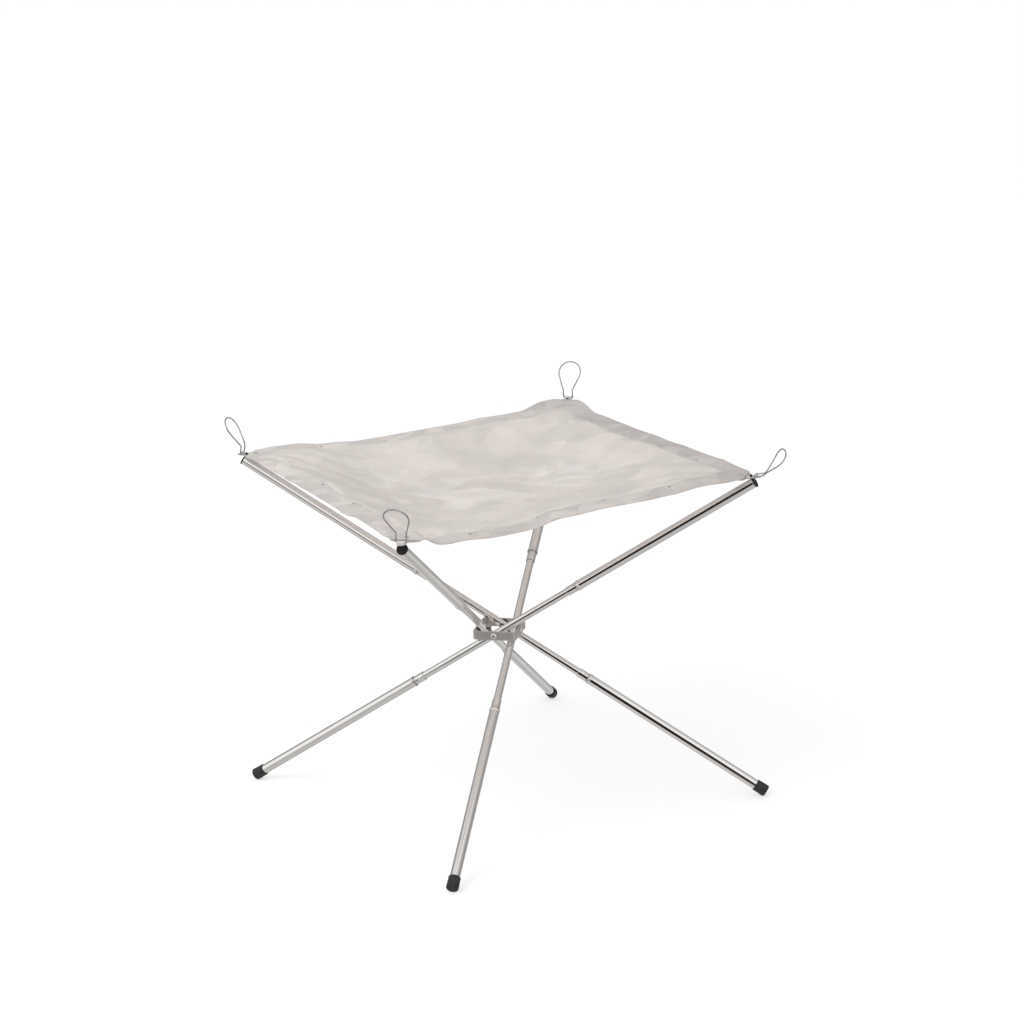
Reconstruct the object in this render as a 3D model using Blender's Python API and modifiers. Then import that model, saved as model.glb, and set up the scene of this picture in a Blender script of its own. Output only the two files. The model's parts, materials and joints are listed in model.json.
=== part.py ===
"""A folding bonfire stand: telescopic poles cross in a square hub ring and carry a sheet of woven steel mesh.

Each of the four poles pivots on a screw through one side of the ring, so the stand has quarter-turn symmetry
about the hub's upright axis. Pole 1 rises to the right (+X), pole 2 to the back (+Y), pole 3 to the left and
pole 4 to the front, and each has its foot on the opposite side. Lengths are in metres and +Z is up. The origin
lies on the ground under the hub's axis.
"""

import math

import bmesh
import bpy
from mathutils import Matrix, Vector

# Clearance kept between pieces that touch or nest
GAP = 0.0003

# Poles
POLE_COUNT = 4
POLE_TILT = math.radians(32.0)  # angle of an open pole above the ground
POLE_REACH = 0.3424  # pivot to either end of an extended pole
POLE_OFFSET = 0.0166  # hub axis to the plane that a pole swings in
TUBE_SIDES = 16

# Middle tube
THIN_RADIUS = 0.0042
THIN_WALL = 0.0005
MIDDLE_HALF = 0.128  # pivot to either end of the middle tube
STOP_RADIUS = 0.00465  # collar at each end, too wide for an outer tube's neck
STOP_LENGTH = 0.004
STOP_TAPER = 0.0008

# Outer tubes, measured along the pole from the pivot
OUTER_WALL = 0.00045
TUBE_OVERLAP = 0.030  # length of middle tube inside an outer tube
NECK_LENGTH = 0.013
NECK_WALL = 0.00045
LIP_HEIGHT = 0.0005  # how far the lip stands proud of the outer tube
LIP_LENGTH = 0.0025
LIP_ROUND = 0.0006

# Foot caps
CAP_LENGTH = 0.0142
CAP_WALL = 0.0010
CAP_FLOOR = 0.0022
CAP_ROUND = 0.0022
CAP_DRAFT = 0.0004  # how much narrower the mouth is than the closed end
CAP_MOUTH_ROUND = 0.0003
FOOT_PRESS = 0.0004  # how far the ground flattens the cap's rounded edge

# Top plugs
FLANGE_HEIGHT = 0.0006  # how far the flange stands proud of the outer tube
FLANGE_LENGTH = 0.0036
FLANGE_ROUND = 0.0008
INSERT_LENGTH = 0.012
INSERT_TAPER = 0.0008
PEG_RADIUS = 0.00145
PEG_FROM_END = 0.0016  # along the pole, from the flange's end face to the peg's axis
PEG_ROOT = 0.0016  # how deep the peg starts below the flange's rim
PEG_PROUD = 0.0017  # how far the peg stands above the corner plate

# Hub ring
RING_HEIGHT = 0.010
RING_WALL = 0.0015
RING_CORNER = 0.003

# Pivot screws, spacers and nuts
SCREW_RADIUS = 0.0015
SCREW_HEAD_RADIUS = 0.0036
SCREW_HEAD_HEIGHT = 0.0023
SCREW_END = 0.0008  # thread left past the nut
RECESS_WIDTH = 0.0009
RECESS_LENGTH = 0.0038
RECESS_DEPTH = 0.0012
SPACER_RADIUS = 0.0038
SPACER_LENGTH = 0.00115
NUT_ACROSS_CORNERS = 0.0062
NUT_HEIGHT = 0.0024
SMALL_SIDES = 12

# Mesh sheet
MESH_PAST_PEG = 0.0107  # peg axis to the corner that the square would have uncut
MESH_THICKNESS = 0.0012
MESH_CELLS = 12
MESH_HEM_CELLS = 1  # cells along each edge that hang with the edge
MESH_BED_CELLS = 1  # cells either side of the middle that lie flat
MESH_MIDDLE_SAG = 0.017  # added to the sag of the two edges that a point lies between
MESH_EDGE_SAG = 0.006
MESH_EDGE_BOW = 0.004  # how far the middle of each edge pulls in
CORNER_CUT = 0.0045  # peg axis to the mesh's cut corner

# Corner plates
PLATE_THICKNESS = 0.0008
TONGUE_HALF_WIDTH = 0.0044
TIP_FROM_PEG = 0.0105
BAR_FROM_PEG = 0.005
WING_FROM_PEG = 0.006
WING_HALF_SPAN = 0.016
WING_WIDTH = 0.004
HEEL_FROM_PEG = 0.018
HEEL_HALF_WIDTH = 0.007
SHOULDER_FROM_PEG = 0.0012
BARREL_WALL = 0.0007
BARREL_SEAT = 0.0002  # metal between the barrel's bore and the plate's top
SLOT_EXTRA = 0.0004

# Corner rivets
RIVET_FROM_PEG = 0.0108
RIVET_RADIUS = 0.0015
RIVET_HEAD_RADIUS = 0.0026
RIVET_HEAD_HEIGHT = 0.0007

# Pull rings
WIRE_RADIUS = 0.00075
LEG_HALF_SPACING = 0.0055
LEG_BEND = 0.001
NECK_REACH = 0.009
LOOP_LENGTH = 0.035
LOOP_RADIUS = 0.013
RING_CRANK = math.radians(40.0)  # between the neck and the loop
NECK_ANGLES = {1: 8.0, 2: 100.0, 3: 100.0, 4: 98.0}  # degrees that each ring's neck rests above level
LOOP_TWISTS = {1: 32.0, 2: 0.0, 3: 0.0, 4: 0.0}  # degrees that each ring's loop is sprung out of its plane
LOOP_STEPS = 11
BEND_STEPS = 3

# Worked out from the sizes above
NECK_START = MIDDLE_HALF - TUBE_OVERLAP
NECK_BORE = THIN_RADIUS + GAP
NECK_RADIUS = NECK_BORE + NECK_WALL
OUTER_BORE = STOP_RADIUS + GAP
OUTER_RADIUS = OUTER_BORE + OUTER_WALL
LIP_RADIUS = OUTER_RADIUS + LIP_HEIGHT
FLANGE_RADIUS = OUTER_RADIUS + FLANGE_HEIGHT
CAP_BORE = OUTER_RADIUS + GAP
CAP_RADIUS = CAP_BORE + CAP_WALL
LOWER_TUBE_END = POLE_REACH - CAP_FLOOR - GAP
UPPER_TUBE_END = POLE_REACH - FLANGE_LENGTH - GAP
SINE = math.sin(POLE_TILT)
COSINE = math.cos(POLE_TILT)
PIVOT_HEIGHT = (
    (POLE_REACH - CAP_ROUND) * SINE + (CAP_RADIUS - CAP_ROUND) * COSINE + CAP_ROUND - FOOT_PRESS
)
FLANGE_TOP = PIVOT_HEIGHT + (POLE_REACH - FLANGE_ROUND) * SINE + FLANGE_RADIUS * COSINE
PEG_REACH = (POLE_REACH - PEG_FROM_END) * COSINE - FLANGE_RADIUS * SINE
PEG_BASE = PIVOT_HEIGHT + (POLE_REACH - PEG_FROM_END) * SINE + FLANGE_RADIUS * COSINE - PEG_ROOT
PLATE_BOTTOM = FLANGE_TOP + GAP
PLATE_TOP = PLATE_BOTTOM + PLATE_THICKNESS
PEG_TOP = PLATE_TOP + PEG_PROUD
PEG_CORNER = math.hypot(PEG_REACH, POLE_OFFSET)  # hub axis to a peg
CORNER_TURN = -math.atan2(POLE_OFFSET, PEG_REACH)  # the mesh's corners point at the pegs
MESH_SIDE = math.sqrt(2) * (PEG_CORNER + MESH_PAST_PEG)
MESH_BOTTOM = PLATE_TOP + GAP
MESH_TOP = MESH_BOTTOM + MESH_THICKNESS
BARREL_BORE = WIRE_RADIUS + GAP
BAR_HEIGHT = PLATE_TOP + BARREL_SEAT + BARREL_BORE
BAR_CORNER = PEG_CORNER + BAR_FROM_PEG
POLE_SIDE = POLE_OFFSET + THIN_RADIUS  # hub axis to a middle tube's outer side
RING_INNER_HALF = POLE_SIDE + SPACER_LENGTH + 2 * GAP
RING_OUTER_HALF = RING_INNER_HALF + RING_WALL


def ring_angles(corner):
    """The angles above level of a pull ring's neck and loop, which bends back from a neck that stands up."""
    neck = math.radians(NECK_ANGLES[corner])
    return neck, neck - math.copysign(RING_CRANK, neck - math.pi / 4)


def clear_scene():
    """Removes whatever the scene holds."""
    for obj in list(bpy.data.objects):
        bpy.data.objects.remove(obj, do_unlink=True)


def new_collection(name):
    collection = bpy.data.collections.new(name)
    bpy.context.scene.collection.children.link(collection)
    return collection


def new_material(name, color, roughness, metallic):
    material = bpy.data.materials.new(name)
    material.use_nodes = True
    shader = material.node_tree.nodes["Principled BSDF"]
    shader.inputs["Base Color"].default_value = (*color, 1.0)
    shader.inputs["Roughness"].default_value = roughness
    shader.inputs["Metallic"].default_value = metallic
    material.diffuse_color = (*color, 1.0)
    return material


def new_empty(name, parent=None, location=(0, 0, 0), rotation=(0, 0, 0)):
    """An axis that pieces hang from."""
    empty = bpy.data.objects.new(name, None)
    empty.empty_display_size = 0.01
    PARTS.objects.link(empty)
    empty.parent = parent
    empty.location = location
    empty.rotation_euler = rotation
    return empty


def add_object(name, data, parent, material=None, location=(0, 0, 0), rotation=(0, 0, 0)):
    """A piece of the stand, or a cutter when it has no material."""
    obj = bpy.data.objects.new(name, data)
    if material is None:
        CUTTERS.objects.link(obj)
        obj.hide_render = True
        obj.display_type = "WIRE"
    else:
        PARTS.objects.link(obj)
        if not data.materials:
            data.materials.append(material)
    obj.parent = parent
    obj.location = location
    obj.rotation_euler = rotation
    return obj


def profile_mesh(name, points, closed):
    """A line of (radius, height) points in the XZ plane, which a Screw modifier turns."""
    mesh = bpy.data.meshes.new(name)
    count = len(points)
    edges = [(i, (i + 1) % count) for i in range(count if closed else count - 1)]
    mesh.from_pydata([(radius, 0, height) for radius, height in points], edges, [])
    return mesh


def turn(obj, sides):
    """Turns a profile about the object's own Z axis."""
    screw = obj.modifiers.new("Turn", "SCREW")
    screw.steps = sides
    screw.render_steps = sides
    screw.use_merge_vertices = True
    screw.merge_threshold = 0.00001
    return obj


def cut(obj, cutter, operation="DIFFERENCE"):
    boolean = obj.modifiers.new(operation.title() + " " + cutter.name, "BOOLEAN")
    boolean.operation = operation
    boolean.object = cutter
    return obj


def rod_mesh(name, radius, bottom, top, sides):
    """A plain cylinder along Z from bottom to top."""
    mesh = bpy.data.meshes.new(name)
    work = bmesh.new()
    bmesh.ops.create_cone(
        work, cap_ends=True, segments=sides, radius1=radius, radius2=radius, depth=top - bottom,
        matrix=Matrix.Translation((0, 0, (bottom + top) / 2)),
    )
    work.to_mesh(mesh)
    work.free()
    return mesh


def box_mesh(name, low, high):
    """A plain box between two corners."""
    mesh = bpy.data.meshes.new(name)
    work = bmesh.new()
    size = Vector(high) - Vector(low)
    middle = (Vector(high) + Vector(low)) / 2
    bmesh.ops.create_cube(work, size=1.0, matrix=Matrix.Translation(middle) @ Matrix.Diagonal((*size, 1)))
    work.to_mesh(mesh)
    work.free()
    return mesh


def flat_curve(name, outlines, thickness):
    """A flat 2D shape of one or more closed outlines, with the inner ones as holes."""
    curve = bpy.data.curves.new(name, "CURVE")
    curve.dimensions = "2D"
    curve.fill_mode = "BOTH"
    curve.extrude = thickness / 2
    for outline in outlines:
        spline = curve.splines.new("POLY")
        spline.points.add(len(outline) - 1)
        for point, (x, y) in zip(spline.points, outline):
            point.co = (x, y, 0, 1)
        spline.use_cyclic_u = True
    return curve


def as_mesh(curve):
    """The mesh of a curve, with its loose caps welded."""
    holder = bpy.data.objects.new("holder", curve)
    CUTTERS.objects.link(holder)
    bpy.context.view_layer.update()
    graph = bpy.context.evaluated_depsgraph_get()
    mesh = bpy.data.meshes.new_from_object(holder.evaluated_get(graph))
    mesh.name = curve.name
    bpy.data.objects.remove(holder)
    work = bmesh.new()
    work.from_mesh(mesh)
    bmesh.ops.remove_doubles(work, verts=work.verts, dist=0.00001)
    work.to_mesh(mesh)
    work.free()
    return mesh


def arc(centre, radius, start, end, steps):
    """Points on an arc in a plane, both ends included."""
    angles = [start + (end - start) * i / steps for i in range(steps + 1)]
    return [(centre[0] + radius * math.cos(a), centre[1] + radius * math.sin(a)) for a in angles]


def rounded_square(half, corner, steps):
    """A square outline about the origin with rounded corners."""
    inset = half - corner
    points = []
    for quarter in range(4):
        angle = quarter * math.pi / 2
        centre = (
            inset * math.sqrt(2) * math.cos(angle + math.pi / 4),
            inset * math.sqrt(2) * math.sin(angle + math.pi / 4),
        )
        points += arc(centre, corner, angle, angle + math.pi / 2, steps)
    return points


def middle_tube_profile():
    """Closed profile of the thin tube, with a stop collar at each end."""
    collar_end = MIDDLE_HALF - STOP_LENGTH
    thin_end = collar_end - STOP_TAPER
    bore = THIN_RADIUS - THIN_WALL
    return [
        (STOP_RADIUS, MIDDLE_HALF), (STOP_RADIUS, collar_end), (THIN_RADIUS, thin_end),
        (THIN_RADIUS, -thin_end), (STOP_RADIUS, -collar_end), (STOP_RADIUS, -MIDDLE_HALF),
        (bore, -MIDDLE_HALF), (bore, MIDDLE_HALF),
    ]


def outer_tube_profile(end):
    """Closed profile of a sliding tube, from its far end down to the neck that grips the thin tube."""
    lip_start = NECK_START + NECK_LENGTH
    lip_end = lip_start + LIP_LENGTH
    return [
        (OUTER_RADIUS, end), (OUTER_RADIUS, lip_end + LIP_ROUND), (LIP_RADIUS, lip_end),
        (LIP_RADIUS, lip_start + LIP_ROUND), (LIP_RADIUS - LIP_ROUND, lip_start),
        (NECK_RADIUS, lip_start), (NECK_RADIUS, NECK_START), (NECK_BORE, NECK_START),
        (NECK_BORE, lip_start - LIP_ROUND), (OUTER_BORE, lip_start + LIP_ROUND), (OUTER_BORE, end),
    ]


def foot_cap_profile():
    """Open profile of a rubber cap, closed at the pole's end."""
    mouth = POLE_REACH - CAP_LENGTH
    rounded = arc((CAP_RADIUS - CAP_ROUND, POLE_REACH - CAP_ROUND), CAP_ROUND, math.pi / 2, 0, 3)
    return [
        (0, POLE_REACH), *rounded, (CAP_RADIUS - CAP_DRAFT, mouth + CAP_MOUTH_ROUND),
        (CAP_RADIUS - CAP_DRAFT - CAP_MOUTH_ROUND, mouth), (CAP_BORE, mouth),
        (CAP_BORE, POLE_REACH - CAP_FLOOR), (0, POLE_REACH - CAP_FLOOR),
    ]


def top_plug_profile():
    """Open profile of a plug: a flange over the tube's end and a tapered insert."""
    under_flange = POLE_REACH - FLANGE_LENGTH
    insert_end = under_flange - INSERT_LENGTH
    insert_radius = OUTER_BORE - GAP
    return [
        (0, POLE_REACH), (FLANGE_RADIUS - FLANGE_ROUND, POLE_REACH),
        (FLANGE_RADIUS, POLE_REACH - FLANGE_ROUND), (FLANGE_RADIUS, under_flange),
        (insert_radius, under_flange), (insert_radius, insert_end + INSERT_TAPER),
        (insert_radius - INSERT_TAPER, insert_end), (0, insert_end),
    ]


def screw_profile():
    """Open profile of a pan-head screw, its head's underside at height 0."""
    head = SCREW_HEAD_HEIGHT
    nut_face = POLE_OFFSET - THIN_RADIUS - GAP - NUT_HEIGHT
    tip = nut_face - SCREW_END - RING_OUTER_HALF - GAP
    return [
        (0, head), (SCREW_HEAD_RADIUS * 0.55, head), (SCREW_HEAD_RADIUS * 0.85, head * 0.78),
        (SCREW_HEAD_RADIUS, head * 0.4), (SCREW_HEAD_RADIUS, 0), (SCREW_RADIUS, 0),
        (SCREW_RADIUS, tip), (0, tip),
    ]


def rivet_profile():
    """Open profile of a rivet with a low head on each side, its lower head's top at height 0."""
    upper = MESH_TOP - PLATE_BOTTOM + 2 * GAP
    top = upper + RIVET_HEAD_HEIGHT
    return [
        (0, top), (RIVET_HEAD_RADIUS * 0.6, top), (RIVET_HEAD_RADIUS, upper + RIVET_HEAD_HEIGHT * 0.3),
        (RIVET_HEAD_RADIUS, upper), (RIVET_RADIUS, upper), (RIVET_RADIUS, 0), (RIVET_HEAD_RADIUS, 0),
        (RIVET_HEAD_RADIUS, -RIVET_HEAD_HEIGHT), (0, -RIVET_HEAD_HEIGHT),
    ]


def make_hub_ring(stand, material):
    """A square band drilled in the middle of each side."""
    mesh = bpy.data.meshes.new("hub_ring")
    outline = rounded_square(RING_OUTER_HALF, RING_CORNER, 3)
    count = len(outline)
    low = [(x, y, -RING_HEIGHT / 2) for x, y in outline]
    mesh.from_pydata(low, [(i, (i + 1) % count) for i in range(count)], [])
    work = bmesh.new()
    work.from_mesh(mesh)
    raised = bmesh.ops.extrude_edge_only(work, edges=work.edges[:])
    top = [item for item in raised["geom"] if isinstance(item, bmesh.types.BMVert)]
    bmesh.ops.translate(work, verts=top, vec=(0, 0, RING_HEIGHT))
    bmesh.ops.recalc_face_normals(work, faces=work.faces[:])
    work.to_mesh(mesh)
    work.free()
    ring = add_object("hub_ring", mesh, stand, material, location=(0, 0, PIVOT_HEIGHT))
    wall = ring.modifiers.new("Wall", "SOLIDIFY")
    wall.thickness = RING_WALL
    wall.offset = -1
    wall.use_even_offset = True
    reach = 2 * RING_OUTER_HALF
    drill = rod_mesh("hub_drill", SCREW_RADIUS + GAP, -reach, reach, SMALL_SIDES)
    for axis, rotation in (("x", (0, math.pi / 2, 0)), ("y", (math.pi / 2, 0, 0))):
        centre = (0, 0, PIVOT_HEIGHT)
        cutter = add_object("hub_drill_" + axis, drill, stand, location=centre, rotation=rotation)
        cut(ring, cutter)


def make_pivot(number, quarter, meshes, materials):
    """A pole's screw, spacer and nut, which stay with the hub ring."""
    lying = (math.pi / 2, 0, 0)
    head_seat = (0, -RING_OUTER_HALF - GAP, PIVOT_HEIGHT)
    fastener = materials["fastener"]
    screw = add_object(f"pivot_screw_{number}", meshes["screw"], quarter, fastener, head_seat, lying)
    turn(screw, SMALL_SIDES)
    for index, angle in enumerate((0, math.pi / 2)):
        slot = add_object(f"recess_{number}_{index}", meshes["recess"], screw, rotation=(0, 0, angle))
        cut(screw, slot)
    spacer_seat = (0, -(RING_INNER_HALF - GAP), PIVOT_HEIGHT)
    black = materials["spacer"]
    spacer = add_object(f"pivot_spacer_{number}", meshes["spacer"], quarter, black, spacer_seat, lying)
    turn(spacer, TUBE_SIDES)
    nut_seat = (0, -(POLE_OFFSET - THIN_RADIUS - GAP), PIVOT_HEIGHT)
    nut = add_object(f"pivot_nut_{number}", meshes["nut"], quarter, fastener, nut_seat, lying)
    cut(nut, add_object(f"nut_drill_{number}", meshes["drill"], nut))


def make_pole(number, pole, quarter, meshes, materials):
    """A middle tube on its pivot, with the two tubes that slide on it and their ends."""
    middle = add_object(f"middle_tube_{number}", meshes["middle"], pole, materials["steel"])
    turn(middle, TUBE_SIDES)
    drill = add_object(f"pole_drill_{number}", meshes["drill"], pole, rotation=(math.pi / 2, 0, 0))
    cut(middle, drill)
    upper = add_object(f"upper_tube_{number}", meshes["upper"], pole, materials["steel"])
    turn(upper, TUBE_SIDES)
    down = (math.pi, 0, 0)
    lower = add_object(f"lower_tube_{number}", meshes["lower"], pole, materials["steel"], rotation=down)
    turn(lower, TUBE_SIDES)
    cap = add_object(f"foot_cap_{number}", meshes["cap"], pole, materials["rubber"], rotation=down)
    turn(cap, TUBE_SIDES)
    cut(cap, GROUND)
    plug = add_object(f"top_plug_{number}", meshes["plug"], pole, materials["plug"])
    turn(plug, TUBE_SIDES)
    peg = add_object(f"peg_{number}", meshes["peg"], quarter, location=(PEG_REACH, -POLE_OFFSET, 0))
    cut(plug, peg, "UNION")


def plate_outline():
    """The corner plate seen from above: a round-tipped tongue, two shoulders, two wings and a heel."""
    tip_centre = PEG_CORNER + TIP_FROM_PEG - TONGUE_HALF_WIDTH
    wing = PEG_CORNER - WING_FROM_PEG
    heel = PEG_CORNER - HEEL_FROM_PEG
    side = [
        (PEG_CORNER + SHOULDER_FROM_PEG, TONGUE_HALF_WIDTH), (wing, WING_HALF_SPAN),
        (wing - WING_WIDTH, WING_HALF_SPAN), (heel, HEEL_HALF_WIDTH),
    ]
    tip = arc((tip_centre, 0), TONGUE_HALF_WIDTH, -math.pi / 2, math.pi / 2, 6)
    return tip + side + [(x, -y) for x, y in reversed(side)]


def slot_outline():
    """The peg's slot, long enough inward for the peg to drop out of it as the tube slides in."""
    radius = PEG_RADIUS + GAP + SLOT_EXTRA / 2
    travel = (PLATE_THICKNESS + PEG_PROUD) * COSINE / SINE + SLOT_EXTRA
    outer = arc((PEG_CORNER, 0), radius, -math.pi / 2, math.pi / 2, 5)
    inner = arc((PEG_CORNER - travel, 0), radius, math.pi / 2, 3 * math.pi / 2, 5)
    return outer + inner


def make_corner(number, corner, meshes, materials):
    """A corner plate with its barrel, and the rivet that holds it to the mesh."""
    middle = (0, 0, (PLATE_BOTTOM + PLATE_TOP) / 2)
    plate = add_object(f"corner_plate_{number}", meshes["plate"], corner, materials["plate"], middle)
    bar = (BAR_CORNER, 0, BAR_HEIGHT)
    across = (math.pi / 2, 0, 0)
    barrel = add_object(f"barrel_{number}", meshes["barrel"], corner, location=bar, rotation=across)
    cut(plate, barrel, "UNION")
    cut(plate, add_object(f"barrel_bore_{number}", meshes["bore"], corner, location=bar, rotation=across))
    cut(plate, add_object(f"slot_{number}", meshes["slot"], corner, location=middle))
    rivet_seat = (PEG_CORNER - RIVET_FROM_PEG, 0, PLATE_BOTTOM - GAP)
    drill = add_object(f"rivet_drill_{number}", meshes["rivet_drill"], corner, location=rivet_seat)
    cut(plate, drill)
    rivet = add_object(f"corner_rivet_{number}", meshes["rivet"], corner, materials["fastener"], rivet_seat)
    turn(rivet, SMALL_SIDES)
    return drill


def loop_side_points():
    """One side of a pull ring's loop as (along, across) points: the arc of its round end to the far point."""
    centre = LOOP_LENGTH - LOOP_RADIUS
    distance = math.hypot(centre, LEG_HALF_SPACING)
    # The straight side leaves the neck and touches the round end
    tangent = math.pi - math.atan2(LEG_HALF_SPACING, centre) - math.acos(LOOP_RADIUS / distance)
    return [
        (centre + LOOP_RADIUS * math.cos(tangent * (1 - i / LOOP_STEPS)),
         LOOP_RADIUS * math.sin(tangent * (1 - i / LOOP_STEPS)))
        for i in range(LOOP_STEPS + 1)
    ]


def ring_side(corner, sign):
    """Half a pull ring's centre line from its bar outward: X outward, Y across, Z up, the bar along Y."""
    neck, loop = ring_angles(corner)
    neck_way = Vector((math.cos(neck), 0, math.sin(neck)))
    loop_way = Vector((math.cos(loop), 0, math.sin(loop)))
    across = Vector((0, sign, 0))
    square = loop_way.cross(across)
    leg_top = neck_way * NECK_REACH
    bend = arc((LEG_HALF_SPACING - LEG_BEND, LEG_BEND), LEG_BEND, -math.pi / 2, 0, BEND_STEPS)
    points = [across * wide + neck_way * along for wide, along in bend]
    points.append(across * LEG_HALF_SPACING + leg_top - neck_way * LEG_BEND)
    points.append(across * LEG_HALF_SPACING + leg_top + loop_way * LEG_BEND)
    for along, wide in loop_side_points():
        # The loop turns about its own length, more towards its far end
        twist = math.radians(LOOP_TWISTS[corner]) * along / LOOP_LENGTH
        side_way = across * math.cos(twist) + square * math.sin(twist)
        points.append(leg_top + loop_way * along + side_way * wide)
    return points


def ring_points(corner):
    """The closed centre line of a pull ring."""
    return ring_side(corner, 1) + list(reversed(ring_side(corner, -1)[:-1]))


def make_pull_ring(number, corner, material):
    """A closed wire ring whose bar turns in the plate's barrel."""
    curve = bpy.data.curves.new(f"pull_ring_{number}", "CURVE")
    curve.dimensions = "3D"
    curve.bevel_depth = WIRE_RADIUS
    curve.bevel_resolution = 2
    spline = curve.splines.new("POLY")
    points = ring_points(number)
    spline.points.add(len(points) - 1)
    for point, place in zip(spline.points, points):
        point.co = (*place, 1)
    spline.use_cyclic_u = True
    add_object(f"pull_ring_{number}", curve, corner, material, location=(BAR_CORNER, 0, BAR_HEIGHT))


def mesh_rise(t):
    """One between the bed's edges, falling to nothing at the hem, t running from -1 to 1 across the mesh."""
    bed = 2 * MESH_BED_CELLS / MESH_CELLS
    hem = 1 - 2 * MESH_HEM_CELLS / MESH_CELLS
    share = min(max((abs(t) - bed) / (hem - bed), 0), 1)
    return 1 - share ** 2


def mesh_depth(u, v):
    """How far the mesh hangs below its corners."""
    rise_u = mesh_rise(u)
    rise_v = mesh_rise(v)
    return MESH_MIDDLE_SAG * rise_u * rise_v + MESH_EDGE_SAG * (rise_u + rise_v)


def make_mesh_sheet(stand, rivet_drills, material):
    """A square sheet with its corners at the pegs, hanging in a shallow bowl with a flat bed."""
    mesh = bpy.data.meshes.new("mesh_sheet")
    work = bmesh.new()
    half = MESH_SIDE / 2
    bmesh.ops.create_grid(work, x_segments=MESH_CELLS, y_segments=MESH_CELLS, size=half)
    for vertex in work.verts:
        u = vertex.co.x / half
        v = vertex.co.y / half
        vertex.co.x -= MESH_EDGE_BOW * u * (1 - v * v)
        vertex.co.y -= MESH_EDGE_BOW * v * (1 - u * u)
        vertex.co.z = -mesh_depth(u, v)
    for quarter in range(POLE_COUNT):
        angle = math.pi / 4 + quarter * 2 * math.pi / POLE_COUNT
        way = Vector((math.cos(angle), math.sin(angle), 0))
        cut_at = way * (PEG_CORNER - CORNER_CUT)
        everything = work.verts[:] + work.edges[:] + work.faces[:]
        bmesh.ops.bisect_plane(work, geom=everything, plane_co=cut_at, plane_no=way, clear_outer=True)
    work.to_mesh(mesh)
    work.free()
    sheet = add_object(
        "mesh_sheet", mesh, stand, material,
        location=(0, 0, MESH_BOTTOM), rotation=(0, 0, CORNER_TURN + math.pi / 4),
    )
    solidify = sheet.modifiers.new("Thickness", "SOLIDIFY")
    solidify.thickness = MESH_THICKNESS
    solidify.offset = 1
    for drill in rivet_drills:
        cut(sheet, drill)


def shared_meshes():
    """Meshes that the four poles and corners share."""
    hole = SCREW_RADIUS + GAP
    spacer = [(SPACER_RADIUS, 0), (SPACER_RADIUS, -SPACER_LENGTH), (hole, -SPACER_LENGTH), (hole, 0)]
    drill_reach = POLE_OFFSET
    half_bar = TONGUE_HALF_WIDTH
    bore_reach = 2 * LEG_HALF_SPACING
    drill_top = MESH_TOP - PLATE_BOTTOM + MESH_THICKNESS
    meshes = {
        "screw": profile_mesh("pivot_screw", screw_profile(), False),
        "spacer": profile_mesh("pivot_spacer", spacer, True),
        "middle": profile_mesh("middle_tube", middle_tube_profile(), True),
        "upper": profile_mesh("upper_tube", outer_tube_profile(UPPER_TUBE_END), True),
        "lower": profile_mesh("lower_tube", outer_tube_profile(LOWER_TUBE_END), True),
        "cap": profile_mesh("foot_cap", foot_cap_profile(), False),
        "plug": profile_mesh("top_plug", top_plug_profile(), False),
        "rivet": profile_mesh("corner_rivet", rivet_profile(), False),
        "nut": rod_mesh("pivot_nut", NUT_ACROSS_CORNERS / 2, -NUT_HEIGHT, 0, 6),
        "drill": rod_mesh("drill", hole, -drill_reach, drill_reach, SMALL_SIDES),
        "recess": box_mesh(
            "recess",
            (-RECESS_LENGTH / 2, -RECESS_WIDTH / 2, SCREW_HEAD_HEIGHT - RECESS_DEPTH),
            (RECESS_LENGTH / 2, RECESS_WIDTH / 2, SCREW_HEAD_HEIGHT + RECESS_DEPTH),
        ),
        "peg": rod_mesh("peg", PEG_RADIUS, PEG_BASE, PEG_TOP, SMALL_SIDES),
        "plate": as_mesh(flat_curve("corner_plate", [plate_outline()], PLATE_THICKNESS)),
        "slot": as_mesh(flat_curve("slot", [slot_outline()], 4 * PLATE_THICKNESS)),
        "barrel": rod_mesh("barrel", BARREL_BORE + BARREL_WALL, -half_bar, half_bar, SMALL_SIDES),
        "bore": rod_mesh("barrel_bore", BARREL_BORE, -bore_reach, bore_reach, SMALL_SIDES),
        "rivet_drill": rod_mesh("rivet_drill", RIVET_RADIUS + GAP, -MESH_THICKNESS, drill_top, SMALL_SIDES),
    }
    return meshes


def make_materials():
    return {
        "steel": new_material("polished_steel", (0.78, 0.77, 0.75), 0.18, 1.0),
        "band": new_material("brushed_steel", (0.48, 0.46, 0.44), 0.4, 1.0),
        "fastener": new_material("bright_fastener", (0.80, 0.80, 0.79), 0.2, 1.0),
        "spacer": new_material("black_spacer", (0.04, 0.04, 0.04), 0.5, 0.0),
        "rubber": new_material("black_rubber", (0.03, 0.03, 0.03), 0.75, 0.0),
        "plug": new_material("black_plastic", (0.02, 0.02, 0.02), 0.45, 0.0),
        "mesh": new_material("woven_steel_mesh", (0.66, 0.64, 0.61), 0.55, 0.4),
        "plate": new_material("plate_steel", (0.70, 0.69, 0.67), 0.35, 1.0),
        "wire": new_material("wire_steel", (0.75, 0.75, 0.74), 0.25, 1.0),
    }


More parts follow.
